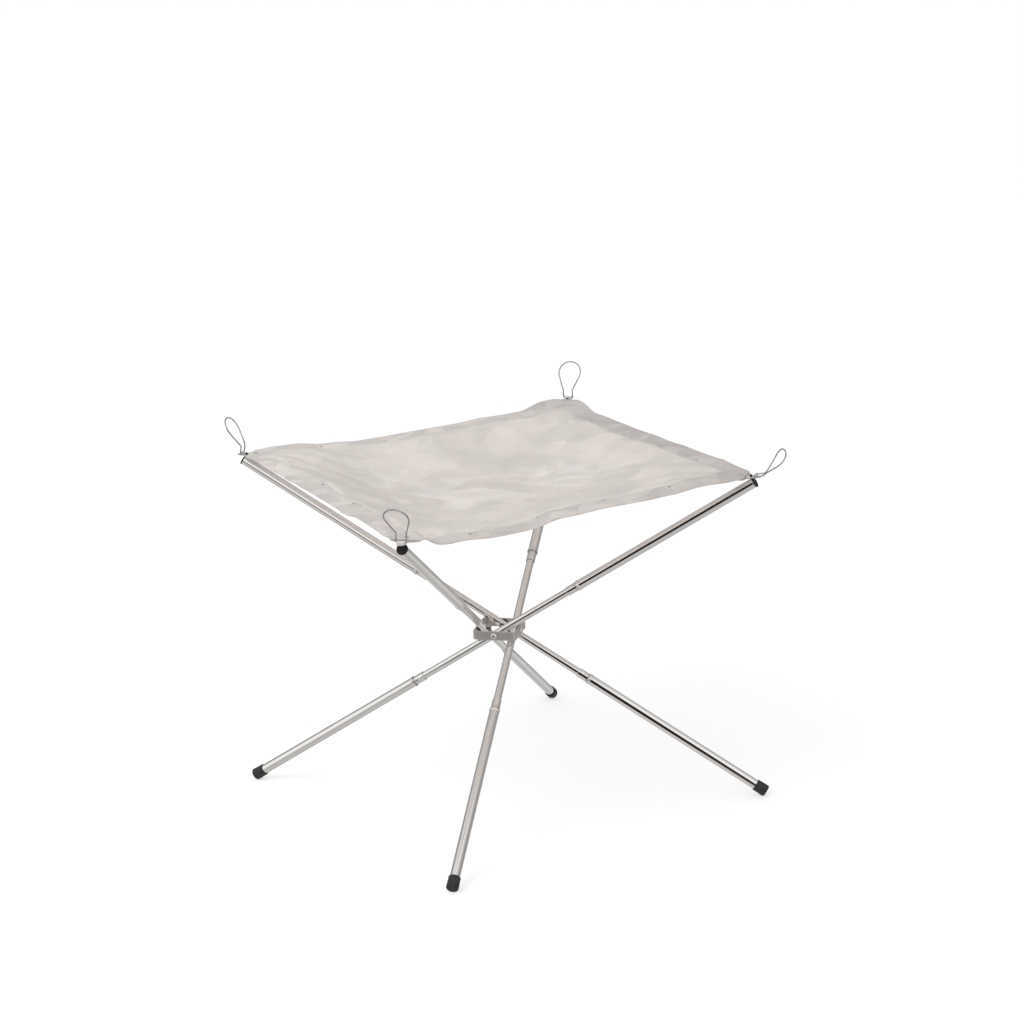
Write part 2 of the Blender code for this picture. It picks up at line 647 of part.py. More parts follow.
def main():
    materials = make_materials()
    meshes = shared_meshes()
    stand = new_empty("stand")
    make_hub_ring(stand, materials["band"])
    rivet_drills = []
    for number in range(1, POLE_COUNT + 1):
        angle = (number - 1) * 2 * math.pi / POLE_COUNT
        quarter = new_empty(f"quarter_{number}", stand, rotation=(0, 0, angle))
        pivot = (0, -POLE_OFFSET, PIVOT_HEIGHT)
        pole = new_empty(f"pole_{number}", quarter, pivot, (0, math.pi / 2 - POLE_TILT, 0))
        corner = new_empty(f"corner_{number}", stand, rotation=(0, 0, angle + CORNER_TURN))
        make_pivot(number, quarter, meshes, materials)
        make_pole(number, pole, quarter, meshes, materials)
        rivet_drills.append(make_corner(number, corner, meshes, materials))
        make_pull_ring(number, corner, materials["wire"])
    make_mesh_sheet(stand, rivet_drills, materials["mesh"])


clear_scene()
PARTS = new_collection("bonfire_stand")
CUTTERS = new_collection("cutters")
CUTTERS.hide_render = True
GROUND_HALF = 2 * POLE_REACH
GROUND_BOX = box_mesh("ground", (-GROUND_HALF, -GROUND_HALF, -CAP_RADIUS), (GROUND_HALF, GROUND_HALF, 0))
GROUND = add_object("ground_cutter", GROUND_BOX, None)
main()
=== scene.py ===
"""A folding bonfire stand: four telescopic poles cross in a hub ring and carry a woven steel sheet.

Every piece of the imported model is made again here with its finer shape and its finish. Lengths are in metres,
+Z is up, and the origin lies on the ground under the hub's axis. Pole 1 rises to the right, 2 to the back,
3 to the left and 4 to the front, and each has its foot on the opposite side.
"""

import json
import math

import bpy
import numpy as np
from mathutils import Matrix


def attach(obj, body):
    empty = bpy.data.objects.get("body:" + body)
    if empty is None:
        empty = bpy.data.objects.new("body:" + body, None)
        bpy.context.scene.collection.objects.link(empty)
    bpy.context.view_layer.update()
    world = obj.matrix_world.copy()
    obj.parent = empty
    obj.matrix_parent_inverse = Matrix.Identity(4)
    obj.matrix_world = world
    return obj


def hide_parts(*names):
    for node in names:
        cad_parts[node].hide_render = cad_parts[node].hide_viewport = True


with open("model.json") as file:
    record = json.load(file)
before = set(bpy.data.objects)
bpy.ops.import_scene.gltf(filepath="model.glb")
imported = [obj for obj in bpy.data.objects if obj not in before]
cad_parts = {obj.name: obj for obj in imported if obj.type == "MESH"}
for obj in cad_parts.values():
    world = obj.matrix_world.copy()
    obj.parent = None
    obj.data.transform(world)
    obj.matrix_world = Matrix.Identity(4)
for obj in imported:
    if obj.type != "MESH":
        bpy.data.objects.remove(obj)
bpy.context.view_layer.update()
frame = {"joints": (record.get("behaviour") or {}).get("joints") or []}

# Clearance between pieces that touch or nest, and a step too small to see
GAP = 0.0003
HAIR = 0.0001

# Edges sharper than this, in degrees, are shaded sharp
SHARP_ANGLE = 35.0

# Poles
POLE_COUNT = 4
POLE_TILT = math.radians(32.0)
POLE_REACH = 0.3424  # pivot to either end of an extended pole
POLE_OFFSET = 0.0166  # hub axis to the plane that a pole swings in
PIVOT_HEIGHT = frame["joints"][0]["pos_m"][2]

# Thin middle tube
THIN_RADIUS = 0.0042
THIN_WALL = 0.0005
MIDDLE_HALF = 0.128
STOP_RADIUS = 0.00465
STOP_LENGTH = 0.004
STOP_TAPER = 0.0008
PIVOT_ZONE = 0.004  # half the stretch of tube round the screw
DRILL_REACH = 0.04

# Sliding outer tubes, along the pole from the pivot
NECK_START = 0.098
NECK_BORE = THIN_RADIUS + GAP
NECK_RADIUS = NECK_BORE + 0.00045
LIP_START = 0.111
LIP_END = 0.1135
LIP_RADIUS = 0.0059
OUTER_BORE = STOP_RADIUS + GAP
OUTER_RADIUS = 0.0054
LOWER_TUBE_END = 0.3399
UPPER_TUBE_END = 0.3409
# How far the painted shade behind the rolled lip spreads along the tube, and its greatest strength
LIP_SHADE_SPREAD = 0.0004
LIP_SHADE_SHARE = 0.8
TUBE_SIDES = 80
DIMPLE_PLACE = 0.1045
DIMPLE_REACH = 0.0017  # half the stretch of neck that has close rows for it
DIMPLE_SPREAD = 0.0008
DIMPLE_DEPTH = 0.00038
DIMPLE_PULL = 0.65  # how far the columns gather at a dimple
LOWER_DIMPLES = {1: -83.0, 2: -19.0, 3: 40.0, 4: -50.0}  # degrees round the tube from its upper side
UPPER_DIMPLES = {1: 200.0, 2: 160.0, 3: 205.0, 4: 170.0}

# Foot caps and top plugs
CAP_BORE = OUTER_RADIUS + GAP
CAP_RADIUS = 0.0067
CAP_LENGTH = 0.0142
CAP_FLOOR = 0.0022
CAP_ROUND = 0.0022
CAP_DRAFT = 0.0004
FLANGE_RADIUS = 0.006
FLANGE_LENGTH = 0.0012
FLANGE_ROUND = 0.0008
DISH_DEPTH = 0.0004
DISH_RADIUS = 0.0036
DISH_RIM = 0.0044
INSERT_LENGTH = 0.012
PEG_RADIUS = 0.00145
PEG_FROM_END = 0.0016
PEG_ROOT = 0.0016
PEG_PROUD = 0.0017

# Hub ring
RING_HEIGHT = 0.010
RING_WALL = 0.0015
RING_CORNER = 0.003
RING_EDGE = 0.00035
RING_INNER_HALF = 0.02255
RING_OUTER_HALF = RING_INNER_HALF + RING_WALL

# Pivot screws, spacers and nuts
SCREW_RADIUS = 0.0015
SCREW_HEAD_RADIUS = 0.0036
SCREW_HEAD_HEIGHT = 0.0023
SCREW_END = 0.0008
THREAD_PITCH = 0.0005
THREAD_DEPTH = 0.00022
RECESS_TURNS = {1: 40.0, 2: 12.0, 3: 67.0, 4: 28.0}  # degrees that each cross recess stopped at
RECESS_DEPTH = 0.0013
RECESS_LENGTHS = (0.0010, 0.0021)
RECESS_WIDTHS = (0.00032, 0.00052)
SPACER_RADIUS = 0.0038
SPACER_LENGTH = 0.00115
NUT_ACROSS_CORNERS = 0.0062
NUT_HEIGHT = 0.0024
NUT_BORE_EDGE = 0.00018

# Corner plates, rivets and pull rings
SINE = math.sin(POLE_TILT)
COSINE = math.cos(POLE_TILT)
PEG_REACH = (POLE_REACH - PEG_FROM_END) * COSINE - FLANGE_RADIUS * SINE
PEG_BASE = PIVOT_HEIGHT + (POLE_REACH - PEG_FROM_END) * SINE + FLANGE_RADIUS * COSINE - PEG_ROOT
PEG_CORNER = math.hypot(PEG_REACH, POLE_OFFSET)
CORNER_TURN = -math.atan2(POLE_OFFSET, PEG_REACH)
PLATE_BOTTOM = PIVOT_HEIGHT + (POLE_REACH - FLANGE_ROUND) * SINE + FLANGE_RADIUS * COSINE + GAP
PLATE_THICKNESS = 0.0008
PLATE_BEVEL = 0.00015
PLATE_MARGIN = 0.0004
PLATE_GUARD = 0.0009
MITRE_LIMIT = 0.4
FULL_ROUND = 0.999  # of half a width, for a rounded end
PLATE_TOP = PLATE_BOTTOM + PLATE_THICKNESS
TONGUE_HALF_WIDTH = 0.0044
TIP_FROM_PEG = 0.0105
BAR_FROM_PEG = 0.005
WING_FROM_PEG = 0.006
WING_HALF_SPAN = 0.016
WING_WIDTH = 0.004
HEEL_FROM_PEG = 0.018
HEEL_HALF_WIDTH = 0.007
SHOULDER_FROM_PEG = 0.0012
RIVET_FROM_PEG = 0.0108
RIVET_RADIUS = 0.0015
RIVET_HEAD_RADIUS = 0.0026
RIVET_HEAD_HEIGHT = 0.0007
WIRE_RADIUS = 0.00075
BARREL_BORE = WIRE_RADIUS + GAP
BARREL_RADIUS = BARREL_BORE + 0.0007
BAR_CORNER = PEG_CORNER + BAR_FROM_PEG
BAR_HEIGHT = PLATE_TOP + 0.0002 + BARREL_BORE
LEG_HALF_SPACING = 0.0055
LEG_BEND = 0.001
NECK_REACH = 0.009
LOOP_LENGTH = 0.035
LOOP_RADIUS = 0.013
RING_CRANK = math.radians(40.0)
CRANK_BEND = 0.002
NECK_ANGLES = {1: 8.0, 2: 100.0, 3: 100.0, 4: 98.0}
LOOP_TWISTS = {1: 32.0, 2: 0.0, 3: 0.0, 4: 0.0}

# Mesh sheet
MESH_BOTTOM = PLATE_TOP + GAP
MESH_THICKNESS = 0.0012
MESH_HALF = math.sqrt(2) * (PEG_CORNER + 0.0107) / 2
MESH_CUT = PEG_CORNER - 0.0045  # hub axis to the sheet's cut corner
MESH_LINES = 193
FIELD_THICKNESS = 0.0005
HEM_WIDTH = 0.028
HEM_EXTRA = 0.0005
EDGE_BOW = 0.004
WEAVE_PITCH = 0.0007
WELD_PITCH = 0.078
WELD_INSET = 0.0225  # from the sheet's edge to the row of spot welds in its hem
WELD_RADIUS = 0.0013
WELD_PHASE = 0.35
# How far each edge hangs below the corners, in millimetres, at places from -1 to 1 along it
EDGE_PLACES = (-1.0, -0.9, -0.7, -0.5, -0.3, -0.1, 0.1, 0.3, 0.5, 0.7, 0.9, 1.0)
BACK_RIGHT_DROPS = (0.0, -3.0, -3.5, -3.5, -2.5, -0.8, 1.0, 2.4, 2.7, 3.6, 2.5, 0.0)
BACK_LEFT_DROPS = (0.0, -2.0, -1.5, 3.3, 7.0, 6.5, 6.0, 5.5, 5.0, 4.0, 2.0, 0.0)
FRONT_LEFT_DROPS = (0.0, 0.2, -2.0, -4.0, -0.5, -0.2, -0.9, -1.5, -2.0, -2.6, -1.5, 0.0)
FRONT_RIGHT_DROPS = (0.0, 4.0, 9.0, 12.3, 11.3, 5.5, 3.4, 3.8, 3.2, -0.5, 0.0, 0.0)
BOWL_DEPTH = 0.024
# Where the sheet turns level for a corner plate, as |u| + |v| less a share of how far off the diagonal it is
LEVEL_START = 1.65
LEVEL_EARLIER_AT_BACK = 0.3
LEVEL_FULL = 1.77
LEVEL_SLANT = 0.7
# Ridges that fan out of the corners: each corner's place, how many ridges, and their depth
RIDGES = ((1, -1, 9, 0.0009), (1, 1, 8, 0.0008), (-1, 1, 10, 0.0011), (-1, -1, 9, 0.0010))
# Folds left by handling: the way across, the pitch in half sides, the phase, the depth and the bend of each
CREASES = (
    (0.35, 0.34, 0.20, 0.0013, 0.22), (1.15, 0.47, 0.62, 0.0015, 0.30), (1.95, 0.29, 0.05, 0.0010, 0.18),
    (2.70, 0.41, 0.40, 0.0013, 0.26), (0.80, 0.19, 0.75, 0.0006, 0.35), (2.25, 0.16, 0.30, 0.0005, 0.40),
)

# Floor, lamp and camera
WHITE = (1.0, 1.0, 1.0)
FLOOR_REACH = 12.0
FLOOR_GREY = 0.42
FLOOR_GLOW = 0.58
LAMP_SIZE = 1.6
LAMP_POWER = 20.0
LAMP_PLACE = (-0.9, -1.1, 2.1)
LAMP_TARGET = (0.0, 0.0, 0.25)
CAMERA_AZIMUTH = math.radians(14.924)
CAMERA_ELEVATION = math.radians(16.430)
CAMERA_ROLL = math.radians(-2.517)
CAMERA_DISTANCE = 3.17636
CAMERA_ASIDE = 0.01385
CAMERA_ABOVE = 0.12847
CAMERA_LENS = 101.68
SENSOR_WIDTH = 36.0

# Greys of the studio in reflections, before and behind the stand: each height of a direction and its grey
FRONT_GREYS = (
    (-1.0, 0.56), (-0.5, 0.52), (-0.32, 0.45), (-0.2, 0.45), (-0.08, 0.62), (0.05, 0.86), (0.2, 0.95),
    (1.0, 0.95),
)
BACK_GREYS = (
    (-1.0, 0.44), (-0.8, 0.46), (-0.72, 0.56), (-0.55, 0.68), (-0.45, 0.56), (-0.3, 0.42), (-0.15, 0.36),
    (0.1, 0.30), (0.4, 0.36), (0.6, 0.52), (0.8, 0.66), (1.0, 0.8),
)
# Cards in the studio, seen only as streaks in the polished tubes: the azimuth in degrees from the front and
# the height of a card's middle, its lean in degrees, half its length and width in radians, and its grey
CARDS = (
    (-20.5, -0.05, -56.0, 0.42, 0.10, 0.01), (7.0, 0.14, 54.0, 0.46, 0.10, 0.01),
    (-38.0, -0.72, 0.0, 0.30, 0.16, 0.75),
)


def in_place(points, place):
    """Points of a piece's own axes carried to where the piece is."""
    return points @ place[:3, :3].T + place[:3, 3]


def axes(x_way, y_way, z_way, origin):
    place = np.eye(4)
    place[:3, 0] = x_way
    place[:3, 1] = y_way
    place[:3, 2] = z_way
    place[:3, 3] = origin
    return place


def outward(number):
    """The level way square to a pole's swing plane, away from the hub."""
    angle = (number - 2) * math.pi / 2
    return np.round(np.array([math.cos(angle), math.sin(angle), 0.0]), 12)


def pole_axes(number, way=1):
    """A pole's axes at its pivot: X to its upper side, Z along it, up for way 1 and down for way -1."""
    swing = outward(number)
    level = np.array([-swing[1], swing[0], 0.0])
    along = COSINE * level + np.array([0.0, 0.0, SINE])
    upper = np.cross(swing, along)
    origin = POLE_OFFSET * swing + np.array([0.0, 0.0, PIVOT_HEIGHT])
    return axes(upper, way * swing, way * along, origin)


def pivot_axes(number):
    """A pivot's axes at the hub's middle: X up, Z outward along the screw."""
    swing = outward(number)
    up = np.array([0.0, 0.0, 1.0])
    return axes(up, np.cross(swing, up), swing, (0.0, 0.0, PIVOT_HEIGHT))


def turned_axes(angle, reach=0.0, height=0.0):
    """Axes turned about the upright, with their origin a reach out along their X."""
    x_way = np.array([math.cos(angle), math.sin(angle), 0.0])
    y_way = (-math.sin(angle), math.cos(angle), 0.0)
    return axes(x_way, y_way, (0.0, 0.0, 1.0), x_way * reach + np.array([0.0, 0.0, height]))


def corner_axes(number, reach=0.0, height=0.0):
    """A mesh corner's axes: X outward through the peg, Y across."""
    return turned_axes((number - 1) * math.pi / 2 + CORNER_TURN, reach, height)


def unit(vectors):
    return vectors / np.linalg.norm(vectors, axis=-1, keepdims=True)


def rounded(corners, closed=False, steps=5, guard=0.0003):
    """A line through (radius, along, fillet) corners, each fillet an arc that touches both of its sides.

    A straight stretch over ten guards long also gets a point one guard from each of its ends, so that the
    shading stays flat on it.
    """
    rows = np.array(corners, dtype=float)
    places = rows[:, :2]
    count = len(rows)
    arcs = []
    for i in range(count):
        here = places[i]
        open_end = not closed and i in (0, count - 1)
        if open_end or rows[i, 2] == 0:
            arcs.append(here[None])
            continue
        way_in = unit(here - places[i - 1])
        way_out = unit(places[(i + 1) % count] - here)
        bend = math.acos(np.clip(way_in @ way_out, -1, 1))
        start = here - way_in * rows[i, 2] * math.tan(bend / 2)
        side = unit(way_out - way_in * (way_in @ way_out))
        angles = np.linspace(0, bend, steps + 1)[:, None]
        arcs.append(start + rows[i, 2] * (way_in * np.sin(angles) + side * (1 - np.cos(angles))))
    line = []
    for i, arc in enumerate(arcs):
        line.append(arc)
        if not closed and i == count - 1:
            break
        step = arcs[(i + 1) % count][0] - arc[-1]
        length = np.linalg.norm(step)
        if length > 10 * guard:
            line.append(np.array([arc[-1] + step * guard / length, arc[-1] + step * (1 - guard / length)]))
    return np.concatenate(line)


def run_length(points, closed=False):
    """How far along a line each of its points lies, with the whole length last if the line closes."""
    line = np.vstack([points, points[:1]]) if closed else points
    return np.concatenate([[0], np.cumsum(np.linalg.norm(np.diff(line, axis=0), axis=1))])


def box_line(near, far, low, high, near_soft, far_soft, steps=5):
    """A closed rounded rectangle, from its near and far sides and its two ends."""
    corners = [(near, low, near_soft), (far, low, far_soft), (far, high, far_soft), (near, high, near_soft)]
    return rounded(corners, closed=True, steps=steps)


def squares_of(ids):
    """The four ids round each cell of a grid of them."""
    return np.stack([ids[:-1, :-1], ids[:-1, 1:], ids[1:, 1:], ids[1:, :-1]], axis=-1)


def surface(name, grid, material, closed=False, uv=None, sharp=SHARP_ANGLE):
    """A closed skin over a grid of points, rows by columns, where each four neighbours make a face.

    The last column joins the first, and with closed the last row joins the first. A first or last row whose
    points coincide becomes a single point. The faces are turned to enclose a positive volume.
    """
    rows, columns = grid.shape[:2]
    index = np.arange(rows * columns).reshape(rows, columns)
    pointed = [np.ptp(grid[row], axis=0).max() < 1e-9 for row in (0, -1)]
    for row in (0, -1):
        if pointed[row]:
            index[row] = index[row, 0]
    index = np.hstack([index, index[:, :1]])
    if closed:
        index = np.vstack([index, index[:1]])
    squares = squares_of(np.arange(index.size).reshape(index.shape))
    faces = [squares[1 if pointed[0] else 0:-1 if pointed[1] else None].reshape(-1, 4)]
    if pointed[0]:
        faces.append(squares[0][:, [0, 2, 3]])
    if pointed[1]:
        faces.append(squares[-1][:, [0, 1, 2]])
    return skin(name, grid.reshape(-1, 3), index.ravel(), faces, material, uv, sharp)


def smoothed(mesh, sharp):
    """Shades a mesh smooth but for the edges that are sharper than an angle."""
    mesh.shade_smooth()
    mesh.set_sharp_from_angle(angle=math.radians(sharp))


def put(name, data):
    """A new object in the scene for a mesh, a lamp or a camera."""
    piece = bpy.data.objects.new(name, data)
    bpy.context.scene.collection.objects.link(piece)
    return piece


def skin(name, points, index, faces, material, uv=None, sharp=SHARP_ANGLE):
    """A mesh from corner ids: index gives each id's point, and uv its place on the flat pattern."""
    corners = [index[block] for block in faces]
    volume = 0.0
    for block in corners:
        for second in range(1, block.shape[1] - 1):
            a, b, c = points[block[:, 0]], points[block[:, second]], points[block[:, second + 1]]
            volume += np.einsum("ij,ij->", a, np.cross(b, c))
    if volume < 0:
        faces = [block[:, ::-1] for block in faces]
        corners = [block[:, ::-1] for block in corners]
    used, packed = np.unique(np.concatenate([block.ravel() for block in corners]), return_inverse=True)
    lists = []
    start = 0
    for block in corners:
        lists += packed[start:start + block.size].reshape(block.shape).tolist()
        start += block.size
    mesh = bpy.data.meshes.new(name)
    mesh.from_pydata(points[used].tolist(), [], lists)
    if uv is not None:
        layer = mesh.uv_layers.new(name="pattern")
        ids = np.concatenate([block.ravel() for block in faces])
        layer.data.foreach_set("uv", uv.reshape(-1, 2)[ids].ravel().astype(np.float32))
    if material is not None:
        mesh.materials.append(material)
    smoothed(mesh, sharp)
    return put(name, mesh)


def turned(radius, angle, along):
    """Points round the Z axis, from arrays of their radius, angle and place along it."""
    return np.stack(np.broadcast_arrays(radius * np.cos(angle), radius * np.sin(angle), along), axis=-1)


def pattern_of(lengths, turns):
    """The flat pattern of a grid whose rows lie at some lengths and whose columns at others."""
    return np.stack(np.meshgrid(lengths, turns, indexing="ij"), axis=-1)


def lathe(name, profile, place, material, sides=64, closed=False, dimple=None):
    """A turned piece: each (radius, along) point of the profile is carried round the Z axis.

    The pattern runs in metres along the profile and in turns round it. A dimple at an angle draws the columns
    together there, by taking a share of the sine of the angle from it, and takes a bell-shaped depth off the
    outer radius.
    """
    radius = profile[:, 0, None]
    along = profile[:, 1, None]
    angle = np.linspace(0, 2 * np.pi, sides + 1)[None]
    if dimple is not None:
        centre = math.radians(dimple)
        angle = angle + centre - DIMPLE_PULL * np.sin(angle)
        round_way = NECK_RADIUS * np.sin(angle - centre)
        facing = np.cos(angle - centre) > 0
        away = (round_way ** 2 + (along - DIMPLE_PLACE) ** 2) / DIMPLE_SPREAD ** 2
        outer = radius > NECK_BORE + HAIR
        radius = radius - DIMPLE_DEPTH * np.exp(-away) * facing * outer
    uv = pattern_of(run_length(profile, closed), np.linspace(0, 1, sides + 1))
    points = in_place(turned(radius, angle, along)[:, :-1].copy(), place)
    return surface(name, points, material, closed=closed, uv=uv)


def swept(name, path, reference, section, place, material, sharp=SHARP_ANGLE):
    """A section carried round a closed path, square to the mean of the two steps that meet at each point.

    The section's first axis is the reference way with its part along the path taken away, and its second is
    the path's way crossed with that. The pattern runs in metres along the path and round the section.
    """
    steps = unit(np.roll(path, -1, axis=0) - path)
    along = unit(steps + np.roll(steps, 1, axis=0))
    side = unit(reference - (along @ reference)[:, None] * along)
    other = np.cross(along, side)
    grid = path[:, None] + section[None, :, :1] * side[:, None] + section[None, :, 1:] * other[:, None]
    uv = pattern_of(run_length(path, True), run_length(section, True))
    return surface(name, in_place(grid, place), material, closed=True, uv=uv, sharp=sharp)


def slab(name, outline, bottom, top, place, material):
    """A flat plate: its outline stacked in rings, a quarter round at both faces and a ring inside them."""
    step_in = unit(outline - np.roll(outline, 1, axis=0))
    step_out = np.roll(step_in, -1, axis=0)
    inward = unit(np.stack([-(step_in + step_out)[:, 1], (step_in + step_out)[:, 0]], axis=-1))
    normal = np.stack([-step_in[:, 1], step_in[:, 0]], axis=-1)
    mitre = inward / np.maximum(np.sum(inward * normal, axis=1, keepdims=True), MITRE_LIMIT)
    angles = np.linspace(0, np.pi / 2, 4)
    drawn = np.concatenate([[PLATE_MARGIN], PLATE_BEVEL * (1 - np.sin(angles))])
    raised = np.concatenate([[0.0], PLATE_BEVEL * (1 - np.cos(angles))])
    insets = np.concatenate([drawn, drawn[::-1]])
    heights = np.concatenate([bottom + raised, top - raised[::-1]])
    rings = outline[None] + insets[:, None, None] * mitre[None]
    levels = np.broadcast_to(heights[:, None, None], rings.shape[:2] + (1,))
    points = in_place(np.concatenate([rings, levels], axis=-1), place)
    index = np.arange(levels.size).reshape(rings.shape[:2])
    squares = squares_of(np.hstack([index, index[:, :1]])).reshape(-1, 4)
    faces = [squares, index[:1, ::-1], index[-1:]]
    return skin(name, points.reshape(-1, 3), index.ravel(), faces, material)


def shaped(piece, others, operation="DIFFERENCE"):
    """The piece with other closed shapes joined or taken away, kept as its own mesh."""
    for other in others:
        boolean = piece.modifiers.new(other.name, "BOOLEAN")
        boolean.operation = operation
        boolean.solver = "EXACT"
        boolean.object = other
    graph = bpy.context.evaluated_depsgraph_get()
    whole = piece.evaluated_get(graph)
    mesh = bpy.data.meshes.new_from_object(whole, preserve_all_data_layers=True, depsgraph=graph)
    mesh.name = piece.name
    piece.modifiers.clear()
    piece.data = mesh
    smoothed(mesh, SHARP_ANGLE)
    for other in others:
        bpy.data.objects.remove(other, do_unlink=True)
    return piece


def joined(piece, other):
    """The piece with another shell kept in the same mesh."""
    with bpy.context.temp_override(
        active_object=piece, object=piece, selected_objects=[piece, other],
        selected_editable_objects=[piece, other],
    ):
        bpy.ops.object.join()
    return piece


def rod(name, radius, low, high, place):
    """A plain round bar along Z, closed to a point at the middle of each end, to drill a hole with."""
    profile = np.array([(0, low), (radius, low), (radius, high), (0, high)], dtype=float)
    return lathe(name, profile, place, None, sides=32)


def settle(piece, body, node):
    """Puts a piece on its body in place of its node."""
    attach(piece, body)
    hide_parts(node)


def mark_points(piece, name, values):
    """Gives each point of a piece a value under a name, for its material to read."""
    attribute = piece.data.attributes.new(name, "FLOAT", "POINT")
    attribute.data.foreach_set("value", values.ravel().astype(np.float32))


def feed(tree, value, socket):
    """Feeds a socket from another socket or with a constant, where a colour is three numbers."""
    if isinstance(value, bpy.types.NodeSocket):
        tree.links.new(value, socket)
    else:
        socket.default_value = (*value, 1) if socket.type == "RGBA" else value


def node_of(tree, kind, output=0, settings=None, **inputs):
    """A node with its settings and named inputs given, as one of its outputs where it has any."""
    node = tree.nodes.new(kind)
    for key, value in (settings or {}).items():
        setattr(node, key, value)
    for key, value in inputs.items():
        feed(tree, value, node.inputs[key.replace("_", " ")])
    return node.outputs[output] if node.outputs else None


def math_of(tree, operation, *values, clamp=False, kind="ShaderNodeMath"):
    node = tree.nodes.new(kind)
    node.operation = operation
    if clamp:
        node.use_clamp = True
    for value, socket in zip(values, node.inputs):
        feed(tree, value, socket)
    return node.outputs[0]


def vector_of(tree, operation, first, second):
    return math_of(tree, operation, first, second, kind="ShaderNodeVectorMath")


def times(tree, first, second):
    return math_of(tree, "MULTIPLY", first, second)


def linear(tree, value, factor, offset):
    """A value times a factor, plus an offset."""
    return math_of(tree, "MULTIPLY_ADD", value, factor, offset)


def distance_of(tree, first, second):
    """The root of two squares' sum."""
    return math_of(tree, "SQRT", linear(tree, first, first, times(tree, second, second)))


def range_of(tree, value, start, end, low=0.0, high=1.0, smooth=True):
    """A value's place between two ends, as a number between two others."""
    settings = {"interpolation_type": "SMOOTHSTEP" if smooth else "LINEAR"}
    return node_of(
        tree, "ShaderNodeMapRange", settings=settings, Value=value,
        From_Min=start, From_Max=end, To_Min=low, To_Max=high,
    )


def color_of(tree, factor, first, second, blend="MIX"):
    node = tree.nodes.new("ShaderNodeMix")
    node.data_type = "RGBA"
    node.blend_type = blend
    feed(tree, factor, node.inputs[0])
    feed(tree, first, node.inputs[6])
    feed(tree, second, node.inputs[7])
    return node.outputs[2]


def noise_of(tree, vector, scale, detail=2.0, roughness=0.5):
    return node_of(
        tree, "ShaderNodeTexNoise", "Fac", Vector=vector, Scale=scale, Detail=detail, Roughness=roughness,
    )


def attribute_of(tree, name):
    return node_of(tree, "ShaderNodeAttribute", "Fac", settings={"attribute_name": name})


def parts_of(tree, vector):
    """A vector's three numbers."""
    return node_of(tree, "ShaderNodeSeparateXYZ", Vector=vector).node.outputs


def new_group(name, inputs, outputs):
    """A shader node group with named inputs and outputs, as its tree and its two end nodes."""
    tree = bpy.data.node_groups.new(name, "ShaderNodeTree")
    for key, kind, value in inputs:
        socket = tree.interface.new_socket(key, in_out="INPUT", socket_type=kind)
        if value is not None:
            socket.default_value = value
    for key, kind in outputs:
        tree.interface.new_socket(key, in_out="OUTPUT", socket_type=kind)
    return tree, tree.nodes.new("NodeGroupInput"), tree.nodes.new("NodeGroupOutput")


def placed(tree, group, **inputs):
    """A group in a material, with values for its inputs, as its outputs."""
    node = tree.nodes.new("ShaderNodeGroup")
    node.node_tree = group
    for key, value in inputs.items():
        feed(tree, value, node.inputs[key.replace("_", " ")])
    return node.outputs


def new_material(name, roughness, metallic, specular=0.5):
    """A material with its tree and its shader, whose constants sit on the shader's own sockets."""
    material = bpy.data.materials.new(name)
    material.use_nodes = True
    tree = material.node_tree
    shader = tree.nodes["Principled BSDF"]
    for key, value in (("Roughness", roughness), ("Metallic", metallic), ("Specular IOR Level", specular)):
        shader.inputs[key].default_value = value
    return material, tree, shader


def coordinates(tree, kind):
    return tree.nodes.new("ShaderNodeTexCoord").outputs[kind]


def grain_group():
    """Fine lines along a pattern's first axis: noise drawn out that way, coarse and fine added together."""
    tree, start, end = new_group(
        "drawn_grain",
        [("Vector", "NodeSocketVector", None), ("Along", "NodeSocketFloat", 10.0),
         ("Across", "NodeSocketFloat", 600.0)],
        [("Lines", "NodeSocketFloat"), ("Smudge", "NodeSocketFloat")],
    )
    vector, along, across = start.outputs[:3]
    scale = node_of(tree, "ShaderNodeCombineXYZ", X=along, Y=across, Z=1.0)
    drawn = vector_of(tree, "MULTIPLY", vector, scale)
    coarse = noise_of(tree, drawn, 1.0, 2.0)
    fine = noise_of(tree, drawn, 3.1, 3.0, 0.6)
    lines = math_of(tree, "ADD", times(tree, coarse, 0.55), times(tree, fine, 0.45))
    tree.links.new(lines, end.inputs["Lines"])
    smudge = noise_of(tree, vector, 38.0, 3.0, 0.6)
    tree.links.new(range_of(tree, smudge, 0.35, 0.7), end.inputs["Smudge"])
    return tree


def mottle_group():
    """Soft cloudy patches and fine specks read from the object's own coordinates."""
    tree, start, end = new_group(
        "mottle",
        [("Patch Size", "NodeSocketFloat", 0.02), ("Speck Size", "NodeSocketFloat", 0.0008)],
        [("Patches", "NodeSocketFloat"), ("Specks", "NodeSocketFloat")],
    )
    vector = coordinates(tree, "Object")
    for size, detail, roughness, result in (
        ("Patch Size", 3.0, 0.55, "Patches"), ("Speck Size", 2.0, 0.6, "Specks"),
    ):
        scale = math_of(tree, "DIVIDE", 1.0, start.outputs[size])
        cloud = noise_of(tree, vector, scale, detail, roughness)
        tree.links.new(range_of(tree, cloud, 0.3, 0.7), end.inputs[result])
    return tree


def grain_of(tree, grain, along, across):
    """The grain's outputs on a piece's own flat pattern."""
    return placed(tree, grain, Vector=coordinates(tree, "UV"), Along=along, Across=across)


def mottle_of(tree, mottle, patch, speck):
    """The mottle's outputs, from the sizes of a patch and of a speck."""
    return placed(tree, mottle, Patch_Size=patch, Speck_Size=speck)


